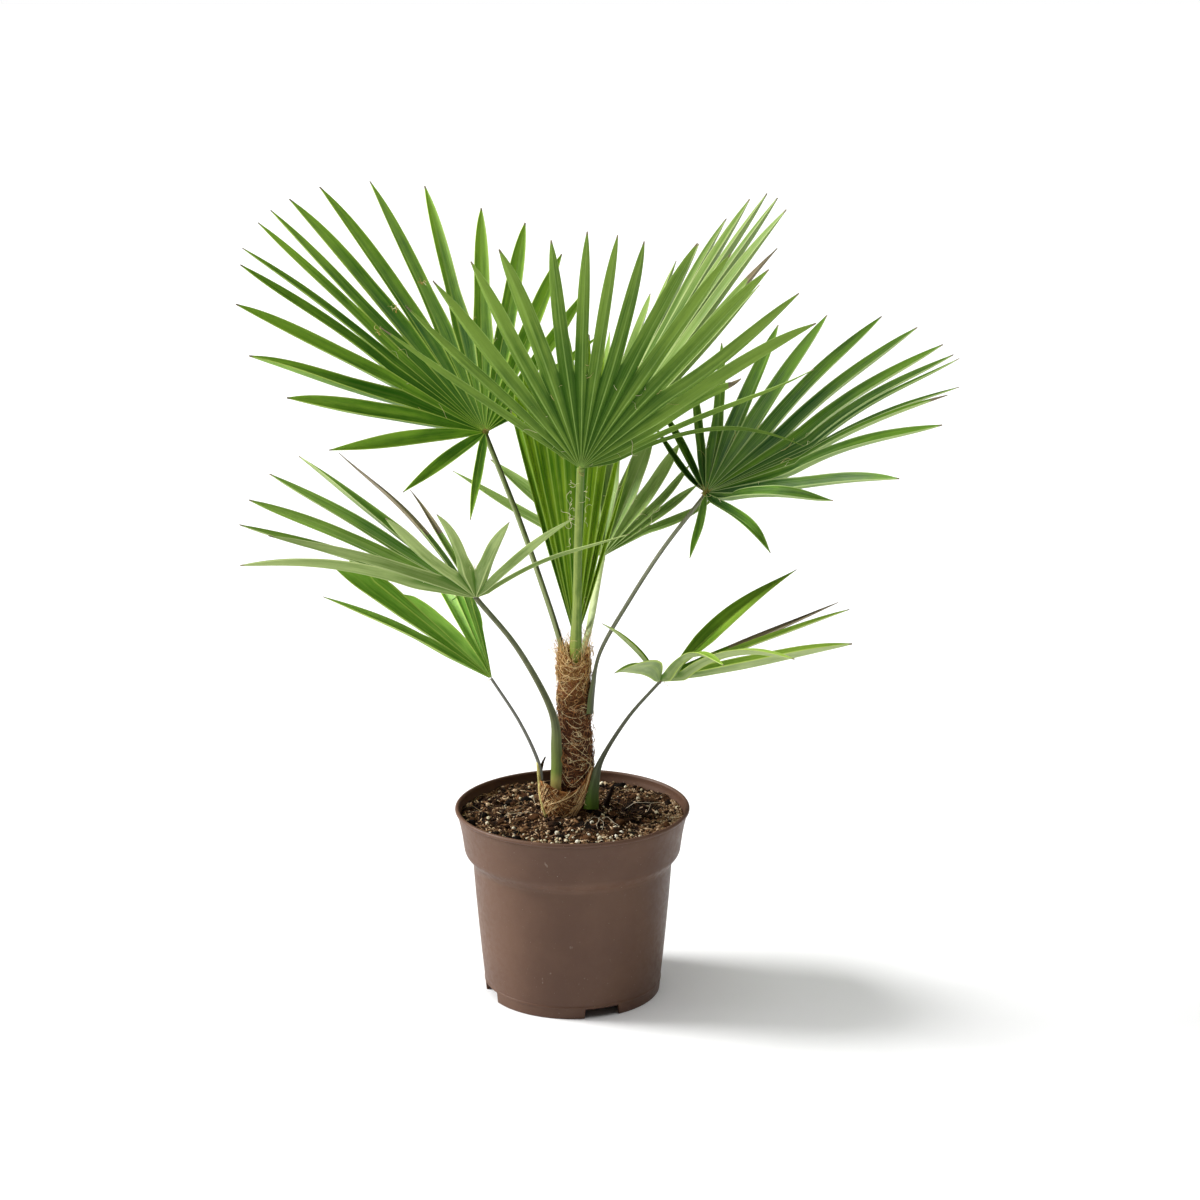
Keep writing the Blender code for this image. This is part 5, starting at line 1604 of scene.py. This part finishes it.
def curls(starts, directions, lengths, curl, draw):
    """Paths that start along a direction and curl: each step leans by two sine waves across the direction."""
    count = len(starts)
    share = np.linspace(0, 1, CURL_POINTS)[None, :, None]
    ahead = unit(directions)
    across = unit(np.cross(ahead, ahead[:, [1, 2, 0]] + 0.1))
    upward = np.cross(across, ahead)
    phase = draw.uniform(0, 2 * np.pi, (count, 1, 2))
    speed = draw.uniform(2, 7, (count, 1, 2))
    step = ahead[:, None] + curl * share * (
        np.sin(speed[..., :1] * share + phase[..., :1]) * across[:, None]
        + np.sin(speed[..., 1:] * share + phase[..., 1:]) * upward[:, None]
    )
    step = unit(step) * (lengths / (CURL_POINTS - 1))[:, None, None]
    return starts[:, None] + np.concatenate([np.zeros((count, 1, 3)), np.cumsum(step[:, 1:], axis=1)], axis=1)


def round_trunk(angle):
    """Level unit vectors at the trunk's side: outwards, and along the side."""
    level = np.stack([np.cos(angle), np.sin(angle), 0 * angle], axis=1)
    return level, level[:, [1, 0, 2]] * (-1, 1, 1)


print("directions at the trunk's front:", [row.round(2).tolist() for row in round_trunk(np.array([FRONT]))])

# %% [markdown]
# A hair starts just inside the mat and leans outwards. A fibre of the collar starts below the ragged edge,
# anywhere but at the cleft, and rises past it.

# %% Hairs and collar
HAIRS, COLLAR_DRAWS, CLEFT = 620, 300, 0.28
angle, height = draw.uniform(0, 2 * np.pi, HAIRS), 0.160 + 0.127 * draw.beta(1.3, 1.0, HAIRS)
starts = around_trunk(angle, height, trunk_radius(height) - 0.0004)
outward, sideways = round_trunk(angle)
lean = outward * draw.uniform(0.2, 1.0, (HAIRS, 1)) + sideways * draw.normal(0, 0.8, (HAIRS, 1))
lean[:, 2] += draw.normal(0.1, 0.6, HAIRS)
hairs = curls(starts, lean, draw.uniform(0.002, 0.007, HAIRS), 1.5, draw)

angle = draw.uniform(0, 2 * np.pi, COLLAR_DRAWS)
angle = angle[np.abs(from_front(angle)) > CLEFT]
collar = len(angle)
height = trunk_top(angle) - draw.uniform(0.001, 0.012, collar)
starts = around_trunk(angle, height, trunk_radius(height) * draw.uniform(0.78, 1.0, collar))
outward, sideways = round_trunk(angle)
lean = -outward * draw.uniform(-0.25, 0.35, (collar, 1)) + sideways * draw.normal(0, 0.8, (collar, 1))
lean[:, 2] += 1
frayed = curls(starts, lean, draw.uniform(0.008, 0.026, collar), 1.0, draw)
thickness = np.concatenate([draw.uniform(0.00005, 0.00012, HAIRS), draw.uniform(0.00014, 0.00034, collar)])
radii = thickness[:, None] * np.linspace(1, 0.35, CURL_POINTS)
tones = np.concatenate([draw.uniform(0.3, 0.9, HAIRS), draw.beta(1.3, 1.0, collar)])
add_tubes("trunk_hairs", np.concatenate([hairs, frayed]), radii, strand_look, tones, sides=3)

# %% [markdown]
# At the trunk's foot a dead leaf base clasps it from the left: a shallow bowl of woven tan fibres that sweeps
# up to the right. Strands in two directions lie over a thin curved band.

# %% The bowl's surface
# Level place, lower and upper edge of the band, in millimetres, from the left end to the right end.
BOWL = np.array([
    (-26, -2, 152, 176), (-25, -10, 149, 180), (-19.5, -17, 147.5, 179), (-9.5, -20.5, 147.5, 175),
    (1, -19.5, 150, 174), (9.5, -16, 160, 182), (14.5, -11.5, 180, 192),
]) * MM
BOWL_MIDDLE = np.array([-6, -6]) * MM


def bowl_point(share, up, lift):
    """The table's curve at a share, from its lower to its upper edge; the foot is drawn in.

    Level place = middle + (curve - middle) x (1 - 0.16 x (1 - up)^2) + lift outwards."""
    share, up, lift = np.broadcast_arrays(share, up, lift)
    row = curve_through(BOWL, share)
    outward = row[..., :2] - BOWL_MIDDLE
    draw_in = 1 - 0.16 * (1 - up[..., None]) ** 2
    level = BOWL_MIDDLE + outward * draw_in + unit(outward) * lift[..., None]
    height = row[..., 2] + (row[..., 3] - row[..., 2]) * up
    return np.concatenate([level, height[..., None]], axis=-1)


print("middle of the bowl in mm:", np.round(bowl_point(0.5, 0.5, 0.0) / MM).tolist())

# %% [markdown]
# The band is a thin sheet with a lumpy outer face. Most of the woven strands rise from the foot to the edge,
# and the others come down across them.

# %% The dead leaf base
WOVEN, RISING_SHARE = 380, 0.72
share, up = np.linspace(0, 1, 90)[:, None], np.linspace(0, 1, 26)[None, :]
outer_sheet = bowl_point(share, up, 0.0008)
outer_sheet = outer_sheet + 0.0005 * noise(outer_sheet, 0.003, 41)[..., None]
inner_sheet = bowl_point(share, up, 0.0)
section = np.concatenate([outer_sheet, inner_sheet[:, ::-1]], axis=1)
vertices, groups = close_ends(section, section[0].mean(axis=0), section[-1].mean(axis=0))
band_tone = 0.3 + 0.25 * noise(vertices, 0.003, 42)

first, length = draw.uniform(-0.05, 0.85, WOVEN), draw.uniform(0.1, 0.4, WOVEN)
rising = draw.uniform(0, 1, WOVEN) < RISING_SHARE
ramp = np.linspace(0, 1, THREAD_POINTS)
woven_share = np.clip(first[:, None] + length[:, None] * ramp, 0, 1)
low, high = draw.uniform(0, 0.5, (WOVEN, 1)), draw.uniform(0.6, 1.05, (WOVEN, 1))
woven_up = np.where(rising[:, None], low + (high - low) * ramp, high + (low - high) * ramp)
woven = bowl_point(woven_share, woven_up, draw.uniform(0.0008, 0.0018, (WOVEN, 1)))
woven_points, woven_groups = tubes(woven, strand_radii(draw.uniform(0.00016, 0.00046, WOVEN)))
woven_tone = np.repeat(draw.beta(1.0, 0.9, WOVEN) * 1.15, len(woven_points) // WOVEN)
tan_look = fibre_finish("leaf_base_fibres", (84, 46, 18), (178, 122, 68), (250, 220, 164), (214, 156, 84))
bowl_points = np.concatenate([vertices, woven_points])
bowl_groups = groups + [group + len(vertices) for group in woven_groups]
bowl_tone = {"tone": np.concatenate([band_tone, woven_tone])}
add_piece(
    "dead_leaf_base_bowl", bowl_points, bowl_groups, tan_look, "dead_leaf_base",
    values=bowl_tone, sharp=None,
)

# %% [markdown]
# Three remains of older leaves stand about the foot: a pale strap that runs down the bowl's left edge, a torn
# dark bit at its upper end, and a dark broken stub in the soil on the right. Each is a short tube.

# %% Remains of older leaves
REMAINS = np.array([
    ((-27.4, -5.5, 194), (-26.4, -8, 178), (-25, -11.5, 164), (-21.4, -15.4, 151)),
    ((-26, -6, 186), (-24.6, -6, 191), (-23.4, -6.5, 195), (-21.6, -7, 199)),
    ((26, 10, 147), (28, 10, 154), (30.5, 10, 161), (33, 10, 168)),
]) * MM
paths = np.stack([curve_through(points, np.linspace(0, 1, THREAD_POINTS)) for points in REMAINS])
thick, thin = np.array([0.0016, 0.0017, 0.0027]), np.array([0.7, 0.35, 0.6])
radii = np.linspace(thick, thick * thin, THREAD_POINTS).T
remains_look = earth_finish("old_leaf_remains", (44, 28, 20), (134, 120, 66), (206, 196, 122), rough=0.7)
add_tubes("old_leaf_remains", paths, radii, remains_look, (0.95, 0.25, 0.0), sides=9)

# %% [markdown]
# ## Threads and hubs of the leaves
#
# Where a leaf splits, its edge comes away as pale curly threads, and where the stalk meets the fan there is a
# small rough hump with short straw-coloured fibres. The threads are the trunk's curls again, started at the
# splits and at the hubs, and the humps are pebbles.

# %% Starts of the threads
draw = np.random.default_rng(61)
thread_finish = earth_finish("leaf_threads", (170, 122, 56), (222, 202, 130), (252, 244, 196), rough=0.6)
hub_finish = earth_finish("leaf_hubs", (84, 98, 30), (134, 132, 62), (184, 160, 92), rough=0.7)
# Threads for each split of a leaf, and short fibres at its hub.
THREADS = dict(
    left=(1.0, 26), front=(2.4, 6), right=(1.0, 24), back_right=(1.2, 0), back=(3.5, 10), young=(1.5, 0),
    low_front_left=(0.4, 6), low_left=(0.4, 4), low_right=(0.5, 8),
)
starts, directions, lengths, tones = [], [], [], []
for name, (rate, hub_fibres) in THREADS.items():
    leaf = LEAVES[name]
    number = int(rate * (leaf["leaflets"] - 1))
    pick = draw.integers(1, leaf["leaflets"], number)
    place = (pick - 0.5) / (leaf["leaflets"] - 1)
    out = fold_splits(leaf)[pick] + draw.uniform(-0.12, 0.05, number)
    across, along, _ = fan_axes(leaf, place, out)
    hub = np.tile(np.array(leaf["stalk"][-1]) * MM, (hub_fibres, 1))
    starts += [fold_line(leaf, place, out), hub + draw.normal(0, 0.0016, hub.shape)]
    loose = draw.normal(0, 0.6, (number, 3)) - (0, 0, 0.3)
    aside = along + 0.3 * draw.normal(0, 1, (number, 1)) * across + 0.5 * loose
    directions += [aside, draw.normal(0, 1, hub.shape)]
    lengths += [draw.uniform(0.004, 0.017, number), draw.uniform(0.003, 0.010, hub_fibres)]
    tones += [draw.uniform(0.5, 1.2, number), draw.uniform(0.0, 0.6, hub_fibres)]
print("threads at splits and hubs:", sum(len(part) for part in lengths))

# %% [markdown]
# A cluster hangs at both sides of the front stalk, mostly at its left, where the stalk slopes forwards. The
# front leaf's first tips are frayed.

# %% Curly threads
HANGING = 22
FRAYED_TIPS, TIP_FIBRES = 3, 7
height = draw.uniform(0.382, 0.436, HANGING)
beside = draw.choice([-0.006, 0.006], HANGING, p=[0.75, 0.25])
starts.append(np.stack([0.005 + beside, -0.006 - 0.335 * (height - 0.292), height], axis=1))
directions.append(draw.normal(0, 1, (HANGING, 3)))
lengths.append(draw.uniform(0.006, 0.015, HANGING))
tones.append(draw.uniform(0.8, 1.3, HANGING))
frayed_places = np.arange(FRAYED_TIPS) / (LEAVES["front"]["leaflets"] - 1)
tips = np.repeat(fan_point(LEAVES["front"], frayed_places, 1.0), TIP_FIBRES, axis=0)
starts.append(tips + draw.normal(0, 0.002, tips.shape))
directions.append(draw.normal(0, 1, tips.shape) + (-0.6, 0, 0.8))
lengths.append(draw.uniform(0.003, 0.007, len(tips)))
tones.append(draw.uniform(0.1, 0.9, len(tips)))
starts, directions, lengths, tones = (np.concatenate(part) for part in (starts, directions, lengths, tones))
paths = curls(starts, directions, lengths, 2.2, draw)
radii = draw.uniform(0.00012, 0.00028, len(paths))[:, None] * np.linspace(1, 0.4, CURL_POINTS)
add_tubes("leaf_threads", paths, radii, thread_finish, tones, sides=3)

# %% [markdown]
# The two leaves whose hubs show from in front get a small hump there.

# %% Humps at the hubs
HUMP_RADIUS = 0.0032
hubs = np.array([LEAVES[name]["stalk"][-1] for name in ("left", "right")]) * MM
turns = draw.uniform(0, 1, (len(hubs), 2))
sizes = np.full(len(hubs), HUMP_RADIUS)
vertices, groups = pebbles(hubs, sizes, (1, 1, 0.8), turns, draw, rings=9, sides=14, rough=0.1)
tone = {"tone": 0.45 + 0.3 * noise(vertices, 0.0015, 62)}
add_piece("leaf_hubs", vertices, groups, hub_finish, values=tone, sharp=None)

# %% [markdown]
# ## Floor, camera and light
#
# The plant stands on a wide pale floor, as in a product studio. The floor is one square whose tone drifts a
# little, so that it isn't a dead flat white.

# %% A pale floor
FLOOR_HALF = 30
floor_finish, tree, shader = new_finish("pale_floor")
soft = ease(tree, grain(tree, object_place(tree), 3.0), 0.3, 0.7)
pale = blend_colours(tree, soft, (0.93, 0.93, 0.93, 1), (0.95, 0.95, 0.95, 1))
tree.links.new(pale, shader.inputs["Base Color"])
shader.inputs["Roughness"].default_value = 0.9
floor_mesh = bpy.data.meshes.new("floor")
floor_corners = [(x * FLOOR_HALF, y * FLOOR_HALF, 0) for x, y in ((-1, -1), (1, -1), (1, 1), (-1, 1))]
floor_mesh.from_pydata(floor_corners, [], [(0, 1, 2, 3)])
floor_mesh.materials.append(floor_finish)
floor = bpy.data.objects.new("floor", floor_mesh)
bpy.context.scene.collection.objects.link(floor)
print("floor:", tuple(floor.dimensions))

# %% [markdown]
# The camera stands two metres in front of the pot, a little above it, and looks slightly down with a long
# lens, so that upright edges stay nearly upright.

# %% The camera
STAND, TURN = (0, -2.0, 0.84), (75.62, 0, -0.64)  # metres from the pot's axis, and degrees
LENS, SENSOR = 78.06, 36  # millimetres
camera_data = bpy.data.cameras.new("camera")
camera_data.lens = LENS
camera_data.sensor_width = SENSOR
camera = bpy.data.objects.new("camera", camera_data)
camera.location = POT_AXIS + STAND
camera.rotation_euler = np.radians(TURN)
bpy.context.scene.collection.objects.link(camera)
bpy.context.scene.camera = camera
print("camera:", [round(value, 3) for value in camera.location], "lens", camera_data.lens)

# %% [markdown]
# Three far lamps with wide discs stand for soft boxes: a strong one high on the left, behind the plant,
# whose shadow falls to the right and forwards, a broad one straight above, and a weak one low on the left.
# The world lights the scene only faintly, but it looks white to the camera, so that the floor runs into a
# white backdrop.


# %% Soft studio light
def soft_light(name, energy, spread, turn):
    """A far lamp whose disc spreads over an angle, so that its shadows are soft."""
    lamp = bpy.data.lights.new(name, "SUN")
    lamp.energy, lamp.angle = energy, np.radians(spread)
    light = bpy.data.objects.new(name, lamp)
    light.rotation_euler = np.radians(turn)
    bpy.context.scene.collection.objects.link(light)


soft_light("key_light", 4.0, 22, (-9, -54, 0))
soft_light("top_light", 2.0, 70, (0, 0, 0))
soft_light("side_light", 0.9, 40, (0, -78, 0))

world = bpy.data.worlds.new("studio")
bpy.context.scene.world = world
world.use_nodes = True
sky = world.node_tree
sky.nodes["Background"].inputs[0].default_value = (1, 1, 1, 1)
sky.nodes["Background"].inputs[1].default_value = 0.08
seen = add_node(sky, "ShaderNodeBackground", {0: (1, 1, 1, 1), 1: 1.0})
eye = add_node(sky, "ShaderNodeLightPath").outputs["Is Camera Ray"]
faint = sky.nodes["Background"].outputs[0]
both = add_node(sky, "ShaderNodeMixShader", {0: eye, 1: faint, 2: seen.outputs[0]})
sky.links.new(both.outputs[0], sky.nodes["World Output"].inputs[0])
bpy.context.scene.view_settings.view_transform = "Standard"
